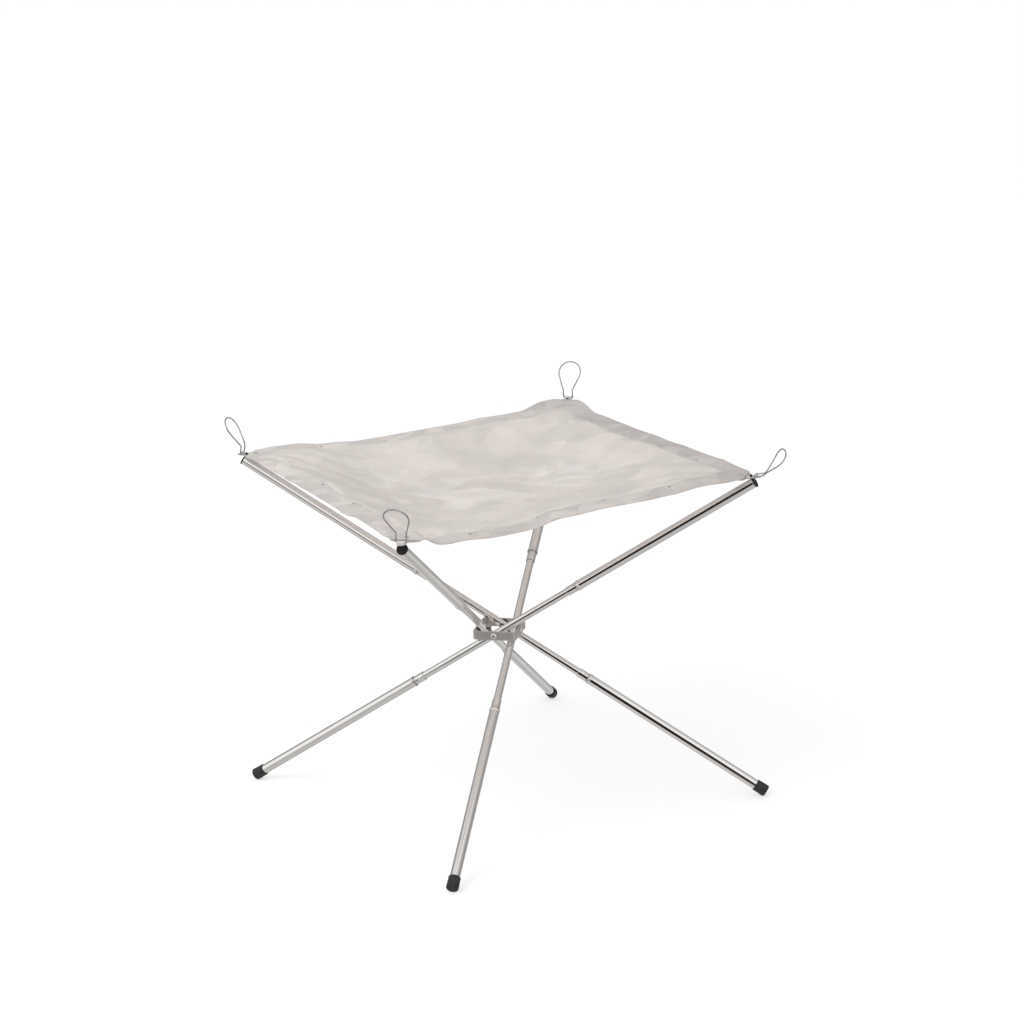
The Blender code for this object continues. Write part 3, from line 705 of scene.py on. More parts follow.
def finish(tree, shader, tint, mask, least, span, height, depth, strength=1.0):
    """Links a tint, a roughness that a mask raises from its least by a span, and a bump of a real depth."""
    tree.links.new(tint, shader.inputs["Base Color"])
    tree.links.new(linear(tree, mask, span, least), shader.inputs["Roughness"])
    normal = node_of(tree, "ShaderNodeBump", Height=height, Distance=depth, Strength=strength)
    tree.links.new(normal, shader.inputs["Normal"])


def polished_steel(grain, mottle):
    """Bright drawn tube: a mirror with hair-fine lines along it, painted reflection streaks and hand marks.

    Painted shade darkens it in the corner behind its rolled lip.
    """
    material, tree, shader = new_material("polished_steel", 0.1, 1.0)
    lines, smudge = grain_of(tree, grain, 14.0, 90.0)
    patches = mottle_of(tree, mottle, 0.03, 0.0006)["Patches"]
    tint = color_of(tree, patches, (0.92, 0.895, 0.87), (0.94, 0.92, 0.90))
    # Painted reflection: long streaks along the tube make its tint lighter and darker in bands
    reflection_streaks = grain_of(tree, grain, 1.6, 22.0)["Lines"]
    level = range_of(tree, reflection_streaks, 0.4, 0.6, 0.85, 1.06, smooth=False)
    tint = color_of(tree, 1.0, tint, level, "MULTIPLY")
    # Painted shade in the corner behind the rolled lip darkens the tint there
    tint = color_of(tree, attribute_of(tree, "seam"), tint, (0.10, 0.09, 0.085))
    finish(tree, shader, tint, lines, linear(tree, smudge, 0.03, 0.03), 0.03, lines, 0.000004)
    return material


def brushed_band(grain, mottle):
    """Satin band: clear brush lines along it, slightly darker in the hollows."""
    material, tree, shader = new_material("brushed_band", 0.34, 1.0)
    lines = grain_of(tree, grain, 45.0, 2600.0)["Lines"]
    patches = mottle_of(tree, mottle, 0.012, 0.0005)["Patches"]
    base = color_of(tree, lines, (0.50, 0.465, 0.43), (0.94, 0.90, 0.86))
    tint = color_of(tree, times(tree, patches, 0.3), base, (0.58, 0.545, 0.51))
    finish(tree, shader, tint, lines, 0.22, 0.22, lines, 0.00003)
    return material


def wire_steel(grain, mottle):
    """Drawn wire of the pull rings, with die lines along it."""
    material, tree, shader = new_material("wire_steel", 0.25, 1.0)
    lines = grain_of(tree, grain, 60.0, 2200.0)["Lines"]
    patches = mottle_of(tree, mottle, 0.008, 0.0004)["Patches"]
    tint = color_of(tree, patches, (0.36, 0.355, 0.35), (0.56, 0.56, 0.55))
    finish(tree, shader, tint, lines, 0.14, 0.14, lines, 0.00001)
    return material


# Plain finishes: the name, how metallic, the sizes of a patch and of a speck, the dark and the pale tone, the
# least roughness and its span, and how far the specks stand proud
PLAIN_FINISHES = (
    ("bright_fastener", 1.0, 0.002, 0.00025, (0.74, 0.73, 0.71), (0.88, 0.88, 0.88), 0.12, 0.16, 0.000015),
    ("dark_nut", 1.0, 0.0015, 0.00025, (0.10, 0.095, 0.09), (0.24, 0.23, 0.22), 0.24, 0.2, 0.000015),
    ("plate_steel", 1.0, 0.006, 0.0004, (0.84, 0.83, 0.81), (0.93, 0.92, 0.91), 0.36, 0.18, 0.00002),
    ("cap_rubber", 0.0, 0.005, 0.0004, (0.018, 0.018, 0.018), (0.034, 0.033, 0.033), 0.55, 0.15, 0.00003),
    ("plug_plastic", 0.0, 0.005, 0.0003, (0.004, 0.004, 0.004), (0.010, 0.010, 0.010), 0.35, 0.15, 0.00001),
    ("spacer_plastic", 0.0, 0.005, 0.0003, (0.02, 0.02, 0.02), (0.035, 0.034, 0.033), 0.43, 0.15, 0.00001),
)
MOULDED_SPECULAR = 0.3


def plain_finish(mottle, name, metallic, patch, speck, dark, pale, least, span, depth):
    """Metal with tiny pits and duller patches, or a fine moulded texture, slightly dusty in patches."""
    specular = 0.5 if metallic else MOULDED_SPECULAR
    material, tree, shader = new_material(name, least + span / 2, metallic, specular)
    patches, specks = mottle_of(tree, mottle, patch, speck)
    finish(tree, shader, color_of(tree, patches, dark, pale), specks, least, span, specks, depth)
    return material


def weave_group():
    """A plain weave from the flat pattern in metres.

    Each thread's height is a rounded hump across it, raised or lowered by a cosine along it that changes sign
    from one thread to the next, so each passes over and under in turn. A hole is where neither hump reaches.
    """
    tree, start, end = new_group(
        "plain_weave",
        [("Vector", "NodeSocketVector", None), ("Pitch", "NodeSocketFloat", 0.0007),
         ("Thread", "NodeSocketFloat", 0.66)],
        [("Height", "NodeSocketFloat"), ("Cover", "NodeSocketFloat")],
    )
    vector, pitch, thread = start.outputs[:3]
    parts = parts_of(tree, vector)
    scaled = [math_of(tree, "DIVIDE", parts[axis], pitch) for axis in (0, 1)]
    humps = []
    signs = []
    for value in scaled:
        share = math_of(tree, "DIVIDE", linear(tree, math_of(tree, "FRACT", value), 2.0, -1.0), thread)
        humps.append(math_of(tree, "SUBTRACT", 1.0, times(tree, share, share), clamp=True))
        odd = math_of(tree, "MODULO", math_of(tree, "FLOOR", value), 2.0)
        signs.append(linear(tree, odd, -2.0, 1.0))
    heights = []
    for along, sense in ((1, 0.35), (0, -0.35)):
        quarter = linear(tree, scaled[along], math.pi, -math.pi / 2)
        wave = times(tree, math_of(tree, "COSINE", quarter), signs[1 - along])
        heights.append(times(tree, humps[1 - along], linear(tree, wave, sense, 0.65)))
    tree.links.new(math_of(tree, "MAXIMUM", *heights), end.inputs["Height"])
    cover = math_of(tree, "GREATER_THAN", math_of(tree, "MAXIMUM", *humps), 0.001)
    tree.links.new(cover, end.inputs["Cover"])
    return tree


def facet_shades(tree, vector, size, metric, low, high):
    """Painted light and shade for each flat patch of a crumpled sheet: cells of a size, each with its own
    brightness in a range.
    """
    settings = {"voronoi_dimensions": "2D", "distance": metric}
    cell = node_of(tree, "ShaderNodeTexVoronoi", "Color", settings=settings, Vector=vector, Scale=1 / size)
    share = node_of(tree, "ShaderNodeSeparateColor", Color=cell)
    return range_of(tree, share, 0.0, 1.0, low, high, smooth=False)


def spot_welds(tree, pattern):
    """Small dark marks in a row along each hem, from the distance to the nearest place that has one.

    The rows stop short of the corners.
    """
    places = parts_of(tree, pattern)
    middles = [math_of(tree, "SUBTRACT", places[axis], MESH_HALF) for axis in (0, 1)]
    beside = [math_of(tree, "ABSOLUTE", middle) for middle in middles]
    rows = []
    for across, along in ((0, 1), (1, 0)):
        inward = math_of(tree, "SUBTRACT", MESH_HALF - WELD_INSET, beside[across])
        turns = math_of(tree, "FRACT", linear(tree, places[along], 1 / WELD_PITCH, WELD_PHASE))
        aside = linear(tree, turns, WELD_PITCH, -WELD_PITCH / 2)
        mark = range_of(tree, distance_of(tree, inward, aside), WELD_RADIUS * 1.3, WELD_RADIUS * 0.7)
        clear = math_of(tree, "LESS_THAN", beside[along], MESH_HALF - 2 * WELD_INSET)
        rows.append(times(tree, mark, clear))
    return math_of(tree, "MAXIMUM", *rows)


def woven_steel(weave, mottle):
    """Pale fine wire cloth: see-through only in its small holes, and crumpled, with painted light and shade on
    its flat patches.

    Its hem is double, so it is solid and darker, with painted light and shade on smaller, stronger patches of
    its own.
    """
    material, tree, shader = new_material("woven_steel", 0.5, 0.35)
    pattern = coordinates(tree, "UV")
    height, cover = placed(tree, weave, Vector=pattern, Pitch=WEAVE_PITCH, Thread=0.66)
    patches, specks = mottle_of(tree, mottle, 0.06, 0.0012)
    heat = times(tree, mottle_of(tree, mottle, 0.022, 0.004)["Patches"], 0.2)
    pale = color_of(tree, patches, (0.79, 0.745, 0.70), (0.845, 0.785, 0.745))
    worn = color_of(tree, heat, pale, (0.70, 0.66, 0.63))
    edged = color_of(tree, times(tree, attribute_of(tree, "tone"), 0.6), worn, (0.50, 0.465, 0.45))
    wobble = linear(tree, noise_of(tree, pattern, 26.0), 0.02, -0.01)
    shift = node_of(tree, "ShaderNodeCombineXYZ", X=wobble, Y=wobble, Z=0.0)
    bent = vector_of(tree, "ADD", pattern, shift)
    # Painted light and shade: each flat patch of the crumpled sheet, and of its hem, is made lighter or darker
    broad = facet_shades(tree, bent, 0.052, "EUCLIDEAN", 0.935, 1.04)
    small = facet_shades(tree, bent, 0.021, "CHEBYCHEV", 0.955, 1.03)
    folded = facet_shades(tree, bent, 0.017, "CHEBYCHEV", 0.87, 1.07)
    hem = attribute_of(tree, "hem")
    facet_shade = node_of(tree, "ShaderNodeMix", 0, Factor=hem, A=times(tree, broad, small), B=folded)
    shade = range_of(tree, height, 0.0, 0.7, 0.74, 1.04, smooth=False)
    threads = color_of(tree, 1.0, edged, times(tree, shade, facet_shade), "MULTIPLY")
    tint = color_of(tree, spot_welds(tree, pattern), threads, (0.12, 0.11, 0.105))
    finish(tree, shader, tint, specks, 0.44, 0.12, height, 0.00012, 0.6)
    tree.links.new(math_of(tree, "MAXIMUM", cover, hem), shader.inputs["Alpha"])
    return material


def make_materials():
    """Every finish, by its name."""
    grain = grain_group()
    mottle = mottle_group()
    finishes = {row[0]: plain_finish(mottle, *row) for row in PLAIN_FINISHES}
    finishes["polished_steel"] = polished_steel(grain, mottle)
    finishes["brushed_band"] = brushed_band(grain, mottle)
    finishes["wire_steel"] = wire_steel(grain, mottle)
    finishes["woven_steel"] = woven_steel(weave_group(), mottle)
    return finishes


def make_hub_ring(material):
    """The band: a rounded rectangle carried round a square with rounded corners, drilled for the screws."""
    middle = (RING_INNER_HALF + RING_OUTER_HALF) / 2
    turn = RING_CORNER - RING_WALL / 2
    ways = ((1, -1), (1, 1), (-1, 1), (-1, -1))
    path = rounded([(x * middle, y * middle, turn) for x, y in ways], closed=True, steps=8)
    path = np.column_stack([path, np.full(len(path), PIVOT_HEIGHT)])
    half, wall = RING_HEIGHT / 2, RING_WALL / 2
    section = box_line(-half, half, -wall, wall, RING_EDGE, RING_EDGE, steps=3)
    band = swept("band", path, np.array([0.0, 0.0, 1.0]), section, np.eye(4), material)
    bore = SCREW_RADIUS + GAP
    drills = [rod(f"drill_{i}", bore, -DRILL_REACH, DRILL_REACH, pivot_axes(i)) for i in (1, 2)]
    settle(shaped(band, drills), "hub", "hub_ring")


def screw_profile():
    """The screw from the middle of its head to its tip, its thread left to the shank's own grid."""
    seat = RING_OUTER_HALF + GAP
    head = seat + SCREW_HEAD_HEIGHT
    wide = SCREW_HEAD_RADIUS
    return rounded([
        (0, head, 0), (wide * 0.55, head - 0.00002, 0.002), (wide * 0.9, head - 0.0007, 0.0009),
        (wide, seat + 0.0004, 0.0004), (wide, seat, 0.0002), (SCREW_RADIUS, seat, 0.0001),
        (SCREW_RADIUS, seat - 0.001, 0),
    ])


def recess_wing(name, angle, place):
    """One tapered arm pair of the cross recess: a wedge that narrows with depth."""
    head = RING_OUTER_HALF + GAP + SCREW_HEAD_HEIGHT
    levels = np.array([head - RECESS_DEPTH, head + 0.0004])
    signs = np.array([(1, 1), (-1, 1), (-1, -1), (1, -1)])
    flat = signs[None] * np.stack([RECESS_LENGTHS, RECESS_WIDTHS], axis=-1)[:, None]
    turn = np.array([[math.cos(angle), -math.sin(angle)], [math.sin(angle), math.cos(angle)]])
    rows = np.concatenate([flat @ turn.T, np.broadcast_to(levels[:, None, None], (2, 4, 1))], axis=-1)
    ends = [np.broadcast_to(row.mean(axis=0), (1, 4, 3)) for row in rows]
    return surface(name, in_place(np.concatenate([ends[0], rows, ends[1]]), place), None)


def make_screw(number, material):
    """A pan-head screw: a turned head with a cross recess, and a shank whose radius falls in a helix.

    The shank's radius is its full size less the thread depth times a triangle wave of along / pitch - turns.
    """
    place = pivot_axes(number)
    tip = POLE_OFFSET - THIN_RADIUS - GAP - NUT_HEIGHT - SCREW_END
    head = screw_profile()
    along = np.arange(head[-1, 1] - 0.0003, tip + 0.0004, -THREAD_PITCH / 6)
    sides = 36
    angle = np.linspace(0, 2 * np.pi, sides, endpoint=False)
    phase = (along[:, None] / THREAD_PITCH - angle[None] / (2 * np.pi)) % 1
    radius = SCREW_RADIUS - THREAD_DEPTH * np.abs(2 * phase - 1)
    end = np.array([(SCREW_RADIUS - THREAD_DEPTH - HAIR, tip), (0, tip)])
    radii = np.vstack([head[:, :1].repeat(sides, axis=1), radius, end[:, :1].repeat(sides, axis=1)])
    places = np.concatenate([head[:, 1], along, end[:, 1]])
    screw = surface(f"screw_{number}", in_place(turned(radii, angle, places[:, None]), place), material)
    turn = math.radians(RECESS_TURNS[number])
    wings = [recess_wing(f"recess_{number}_{i}", turn + i * math.pi / 2, place) for i in (0, 1)]
    settle(shaped(screw, wings), "hub", f"pivot_screw_{number}")


def make_spacer(number, material):
    outer_face = RING_INNER_HALF - GAP
    inner_face = outer_face - SPACER_LENGTH
    profile = box_line(SCREW_RADIUS + GAP, SPACER_RADIUS, inner_face, outer_face, 0.0001, 0.00025)
    spacer = lathe(f"spacer_{number}", profile, pivot_axes(number), material, sides=48, closed=True)
    settle(spacer, "hub", f"pivot_spacer_{number}")


def make_nut(number, material):
    """A hexagon nut: rings run from its bore over one face, down its flats and back over the other face.

    The outer radius is the flats' distance over the cosine of the angle from the nearest flat's middle, and a
    cone of 30 degrees takes the corners off both faces.
    """
    bore = SCREW_RADIUS + GAP
    apothem = NUT_ACROSS_CORNERS / 2 * math.cos(math.pi / 6)
    sides = 60
    angle = np.arange(sides) * 2 * np.pi / sides
    hexagon = apothem / np.cos((angle + np.pi / 6) % (np.pi / 3) - np.pi / 6)
    shares = np.array([0.0, 0.08, 0.5, 0.8, 0.9, 0.96, 1.0])
    radius = bore + (hexagon[None] - bore) * shares[:, None]
    half = NUT_HEIGHT / 2
    fall = np.maximum(radius - apothem * 0.97, 0) * math.tan(math.radians(30))
    fall[0] += NUT_BORE_EDGE
    radii = np.vstack([radius, radius[::-1]])
    heights = np.vstack([half - fall, -half + fall[::-1]])
    points = turned(radii, angle, heights + POLE_OFFSET - THIN_RADIUS - GAP - half)
    nut = surface(f"nut_{number}", in_place(points, pivot_axes(number)), material, closed=True, sharp=25.0)
    settle(nut, "hub", f"pivot_nut_{number}")


def make_middle_tube(number, material):
    """The thin tube with its two stop collars, drilled for the pivot screw."""
    collar = MIDDLE_HALF - STOP_LENGTH
    taper = collar - STOP_TAPER
    bore = THIN_RADIUS - THIN_WALL
    upper_half = [
        (bore, PIVOT_ZONE, 0), (bore, MIDDLE_HALF, 0.0002), (STOP_RADIUS, MIDDLE_HALF, 0.0002),
        (STOP_RADIUS, collar, 0.0004), (THIN_RADIUS, taper, 0.0004), (THIN_RADIUS, PIVOT_ZONE, 0),
    ]
    lower_half = [(radius, -along, soft) for radius, along, soft in reversed(upper_half)]
    corners = upper_half[2:] + lower_half + upper_half[:2]
    profile = rounded(corners, closed=True)
    tube = lathe(f"thin_tube_{number}", profile, pole_axes(number), material, closed=True)
    drill = rod(f"pole_drill_{number}", SCREW_RADIUS + GAP, 0, DRILL_REACH, pivot_axes(number))
    settle(shaped(tube, [drill]), f"pole_{number}", f"middle_tube_{number}")


def outer_profile(end):
    """A sliding tube's wall: body, rolled lip, narrower neck and bore, as one closed line."""
    rows = DIMPLE_PLACE + np.linspace(DIMPLE_REACH, -DIMPLE_REACH, 21)
    dimple_rows = [(NECK_RADIUS, along, 0) for along in rows]
    return rounded([
        (OUTER_RADIUS, end, 0.0002), (OUTER_RADIUS, LIP_END + 0.0007, 0.0009), (LIP_RADIUS, LIP_END, 0.0008),
        (LIP_RADIUS, LIP_START, 0.0007), (NECK_RADIUS, LIP_START + HAIR, 0.0002), *dimple_rows,
        (NECK_RADIUS, NECK_START, 0.0002), (NECK_BORE, NECK_START, 0.0001),
        (NECK_BORE, LIP_START - 0.0006, 0.0005), (OUTER_BORE, LIP_START + 0.0006, 0.0005),
        (OUTER_BORE, end, 0.0001),
    ], closed=True)


def make_outer_tubes(number, material):
    """The two sliding tubes of a pole, each with a locating dimple punched in its neck.

    The painted shade's value peaks in the corner behind the rolled lip and falls off as a bell along the tube,
    and is there on the outside only.
    """
    for part, end, way, dimples in (
        ("lower", LOWER_TUBE_END, -1, LOWER_DIMPLES), ("upper", UPPER_TUBE_END, 1, UPPER_DIMPLES),
    ):
        profile = outer_profile(end)
        tube = lathe(
            f"sliding_tube_{part}_{number}", profile, pole_axes(number, way), material,
            sides=TUBE_SIDES, closed=True, dimple=dimples[number],
        )
        radius, along = profile.T
        # Painted shade behind the rolled lip, as a value on each point of the profile
        seam = LIP_SHADE_SHARE * np.exp(-((along - LIP_START) / LIP_SHADE_SPREAD) ** 2) * (radius > NECK_RADIUS - HAIR)
        mark_points(tube, "seam", np.repeat(seam, TUBE_SIDES))
        settle(tube, f"{part}_{number}", f"{part}_tube_{number}")


def make_foot_cap(number, material):
    """A rubber cap pressed flat where it meets the ground, with a small bead round its mouth."""
    mouth = POLE_REACH - CAP_LENGTH
    floor = POLE_REACH - CAP_FLOOR
    lip = CAP_RADIUS - CAP_DRAFT
    bead = lip + 0.0002
    profile = rounded([
        (0, POLE_REACH, 0), (CAP_RADIUS, POLE_REACH, CAP_ROUND), (lip + 0.00005, mouth + 0.0022, 0.0008),
        (lip - 0.0001, mouth + 0.0016, 0.0004), (bead, mouth + 0.0011, 0.0003), (bead, mouth, 0.0004),
        (CAP_BORE, mouth, 0.0002), (CAP_BORE, floor, 0), (0, floor, 0),
    ], steps=7)
    angle = np.linspace(0, 2 * np.pi, 64, endpoint=False)
    points = in_place(turned(profile[:, :1], angle, profile[:, 1:]), pole_axes(number, -1))
    points[..., 2] = np.maximum(points[..., 2], 0)
    cap = surface(f"cap_{number}", points, material)
    settle(cap, f"lower_{number}", f"foot_cap_{number}")


def make_plug(number, material):
    """A plug with a dished end face and a round-topped peg that stands straight up from its rim."""
    dish = POLE_REACH - DISH_DEPTH
    under = POLE_REACH - FLANGE_LENGTH
    insert_end = under - INSERT_LENGTH
    insert = OUTER_BORE - GAP
    profile = rounded([
        (0, dish, 0), (DISH_RADIUS, dish, 0.0006), (DISH_RIM, POLE_REACH, 0.0004),
        (FLANGE_RADIUS, POLE_REACH, 0.0006), (FLANGE_RADIUS, under, 0.0002), (insert, under, 0.0001),
        (insert, insert_end, 0.0008), (0, insert_end, 0),
    ])
    plug = lathe(f"plug_{number}", profile, pole_axes(number), material)
    top = PLATE_TOP + PEG_PROUD
    bar = rounded([(0, PEG_BASE, 0), (PEG_RADIUS, PEG_BASE, 0.0002), (PEG_RADIUS, top, 0.0005), (0, top, 0)])
    place = turned_axes((number - 1) * math.pi / 2)
    place[:3, 3] = place[:3, 0] * PEG_REACH - place[:3, 1] * POLE_OFFSET
    peg = lathe(f"peg_{number}", bar, place, material, sides=32)
    settle(shaped(plug, [peg], "UNION"), f"upper_{number}", f"top_plug_{number}")


def plate_outline():
    """The corner plate from above: a round-tipped tongue, two shoulders, two wings and a heel."""
    tip = PEG_CORNER + TIP_FROM_PEG
    wing = PEG_CORNER - WING_FROM_PEG
    heel = PEG_CORNER - HEEL_FROM_PEG
    side = [
        (tip, TONGUE_HALF_WIDTH, TONGUE_HALF_WIDTH * FULL_ROUND),
        (PEG_CORNER + SHOULDER_FROM_PEG, TONGUE_HALF_WIDTH, 0.002), (wing, WING_HALF_SPAN, 0.0012),
        (wing - WING_WIDTH, WING_HALF_SPAN, 0.0012), (heel, HEEL_HALF_WIDTH, 0.002),
    ]
    other = [(x, -y, fillet) for x, y, fillet in reversed(side)]
    return rounded(other[-1:] + side + other[:-1], closed=True, steps=8, guard=PLATE_GUARD)


def make_plate(number, material):
    """A stamped plate with a barrel for the pull ring, a slot for the peg and a hole for the rivet."""
    place = corner_axes(number)
    plate = slab(f"plate_{number}", plate_outline(), PLATE_BOTTOM, PLATE_TOP, place, material)
    bar = corner_axes(number, BAR_CORNER, BAR_HEIGHT)
    across = axes(bar[:3, 2], bar[:3, 0], bar[:3, 1], bar[:3, 3])
    half = TONGUE_HALF_WIDTH
    tube = box_line(BARREL_BORE, BARREL_RADIUS, -half, half, 0.00015, 0.0003)
    barrel = lathe(f"barrel_{number}", tube, across, material, sides=32, closed=True)
    radius = PEG_RADIUS + GAP + 0.0002
    travel = (PLATE_THICKNESS + PEG_PROUD) * COSINE / SINE + 0.0004
    outer, inner = PEG_CORNER + radius, PEG_CORNER - travel - radius
    corners = [(x, y, radius * FULL_ROUND) for x, y in (
        (outer, -radius), (outer, radius), (inner, radius), (inner, -radius),
    )]
    outline = rounded(corners, closed=True, steps=8, guard=PLATE_GUARD)
    low, high = PLATE_BOTTOM - 0.002, PLATE_TOP + 0.002
    slot = slab(f"slot_{number}", outline, low, high, place, material)
    rivet_place = corner_axes(number, PEG_CORNER - RIVET_FROM_PEG)
    hole = rod(f"rivet_hole_{number}", RIVET_RADIUS + GAP, low, high, rivet_place)
    joined(shaped(plate, [slot, hole]), barrel)
    settle(plate, "mesh", f"corner_plate_{number}")


def make_rivet(number, material):
    """A rivet with a low dome each side."""
    low = PLATE_BOTTOM - GAP
    high = MESH_BOTTOM + MESH_THICKNESS + GAP
    dome = RIVET_HEAD_HEIGHT
    wide = RIVET_HEAD_RADIUS
    profile = rounded([
        (0, high + dome, 0), (wide * 0.55, high + dome, 0.0016), (wide, high + dome * 0.3, 0.0003),
        (wide, high, 0.0001), (RIVET_RADIUS, high, 0.0001), (RIVET_RADIUS, low, 0.0001), (wide, low, 0.0001),
        (wide, low - dome * 0.4, 0.0003), (wide * 0.6, low - dome, 0.001), (0, low - dome, 0),
    ])
    place = corner_axes(number, PEG_CORNER - RIVET_FROM_PEG)
    rivet = lathe(f"rivet_{number}", profile, place, material, sides=40)
    settle(rivet, "mesh", f"corner_rivet_{number}")


def ring_path(number):
    """A pull ring's centre line in its corner's axes, from its bar at the origin.

    The bar runs across, an arc turns each leg into the neck, a parabola bends the neck to the loop, and the
    loop's straight sides touch its round end. The loop also turns about its own length, more towards its end.
    """
    neck = math.radians(NECK_ANGLES[number])
    loop = neck - math.copysign(RING_CRANK, neck - math.pi / 4)
    neck_way = np.array([math.cos(neck), 0, math.sin(neck)])
    loop_way = np.array([math.cos(loop), 0, math.sin(loop)])
    centre = LOOP_LENGTH - LOOP_RADIUS
    distance = math.hypot(centre, LEG_HALF_SPACING)
    tangent = math.pi - math.atan2(LEG_HALF_SPACING, centre) - math.acos(LOOP_RADIUS / distance)
    arc = tangent * (1 - np.linspace(0, 1, 33))
    round_end = np.column_stack([centre + LOOP_RADIUS * np.cos(arc), LOOP_RADIUS * np.sin(arc)])
    share = np.linspace(0.07, 1, 9)[:-1, None]
    straight = np.array([0, LEG_HALF_SPACING]) * (1 - share) + round_end[0] * share
    loop_points = np.vstack([straight, round_end])
    twist = math.radians(LOOP_TWISTS[number]) * loop_points[:, :1] / LOOP_LENGTH
    leg_top = neck_way * NECK_REACH
    halves = []
    for sign in (1, -1):
        across = np.array([0.0, sign, 0.0])
        turn = np.linspace(-np.pi / 2, 0, 8)[:, None]
        bend = across * (LEG_HALF_SPACING - LEG_BEND + LEG_BEND * np.cos(turn))
        bend = bend + neck_way * (LEG_BEND + LEG_BEND * np.sin(turn))
        corner = across * LEG_HALF_SPACING + leg_top
        t = np.linspace(0, 1, 8)[:, None]
        first = corner - neck_way * CRANK_BEND
        last = corner + loop_way * CRANK_BEND
        crank = (1 - t) ** 2 * first + 2 * t * (1 - t) * corner + t ** 2 * last
        side_way = across * np.cos(twist) + np.cross(loop_way, across) * np.sin(twist)
        loop_line = leg_top + loop_way * loop_points[:, :1] + side_way * loop_points[:, 1:]
        leg = np.linspace(bend[-1], crank[0], 6)[1:-1]
        halves.append(np.vstack([bend, leg, crank, loop_line]))
    bar = np.linspace(halves[1][0], halves[0][0], 8)[1:-1]
    path = np.vstack([halves[0], halves[1][::-1][1:], bar])
    return path, unit(np.cross(np.array([0.0, 1.0, 0.0]), neck_way + loop_way))


def make_pull_ring(number, material):
    """A wire ring whose bar turns in the plate's barrel."""
    path, reference = ring_path(number)
    angle = np.linspace(0, 2 * np.pi, 18, endpoint=False)
    section = WIRE_RADIUS * np.column_stack([np.cos(angle), np.sin(angle)])
    place = corner_axes(number, BAR_CORNER, BAR_HEIGHT)
    ring = swept(f"wire_ring_{number}", path, reference, section, place, material, sharp=60.0)
    settle(ring, f"ring_{number}", f"pull_ring_{number}")


def blurred(values):
    """Each value's mean with its nearest neighbours, along both axes."""
    for axis in (0, 1):
        padded = np.pad(values, 1, mode="edge")
        values = np.mean([np.roll(padded, shift, axis=axis) for shift in (-1, 0, 1)], axis=0)[1:-1, 1:-1]
    return values


def soft_step(value, low, high):
    share = np.clip((value - low) / (high - low), 0, 1)
    return share * share * (3 - 2 * share)


def edge_drop(drops, t):
    """An edge's fall in metres: its few values joined by cosines."""
    values = np.array(drops) / 1000
    places = np.array(EDGE_PLACES)
    cell = np.clip(np.searchsorted(places, t) - 1, 0, len(places) - 2)
    share = (t - places[cell]) / (places[cell + 1] - places[cell])
    share = (1 - np.cos(np.pi * np.clip(share, 0, 1))) / 2
    return values[cell] * (1 - share) + values[cell + 1] * share


def sheet_fall(u, v):
    """How far the sheet hangs below its corners.

    Each edge's fall runs straight to the opposite edge's, both ways added. The bowl is the product of two
    humps, each flat in the middle sixth and falling from there as a square. Ridges fan out of the corners, a
    cosine of the angle seen from the corner that fades with distance. Creases are triangle waves across a few
    ways, bent by a sine along them and faded by another.
    """
    fall = (1 + u) / 2 * edge_drop(BACK_RIGHT_DROPS, v) + (1 - u) / 2 * edge_drop(FRONT_LEFT_DROPS, v)
    fall = fall + (1 + v) / 2 * edge_drop(BACK_LEFT_DROPS, u) + (1 - v) / 2 * edge_drop(FRONT_RIGHT_DROPS, u)
    hump_u, hump_v = (1 - np.clip((np.abs(place) - 1 / 6) * 1.5, 0, 1) ** 2 for place in (u, v))
    fall = fall + BOWL_DEPTH * hump_u * hump_v
    for corner_u, corner_v, ridges, depth in RIDGES:
        away_u = np.abs(u - corner_u)
        away_v = np.abs(v - corner_v)
        distance = np.hypot(away_u, away_v) + 1e-6
        near = soft_step(distance, 0.08, 0.35) * (1 - soft_step(distance, 0.4, 1.3))
        fall = fall + depth * near * np.cos(2 * ridges * np.arctan2(away_u, away_v))
    for way, pitch, phase, depth, bend in CREASES:
        across = u * math.cos(way) + v * math.sin(way)
        along = v * math.cos(way) - u * math.sin(way)
        turns = across / pitch + phase + bend * np.sin(2.6 * along + 7 * phase)
        fades = 0.5 + 0.5 * np.sin(3.4 * along + 1.9 * across + 11 * phase)
        fall = fall + depth * fades * np.abs(2 * (turns % 1) - 1)
    return fall


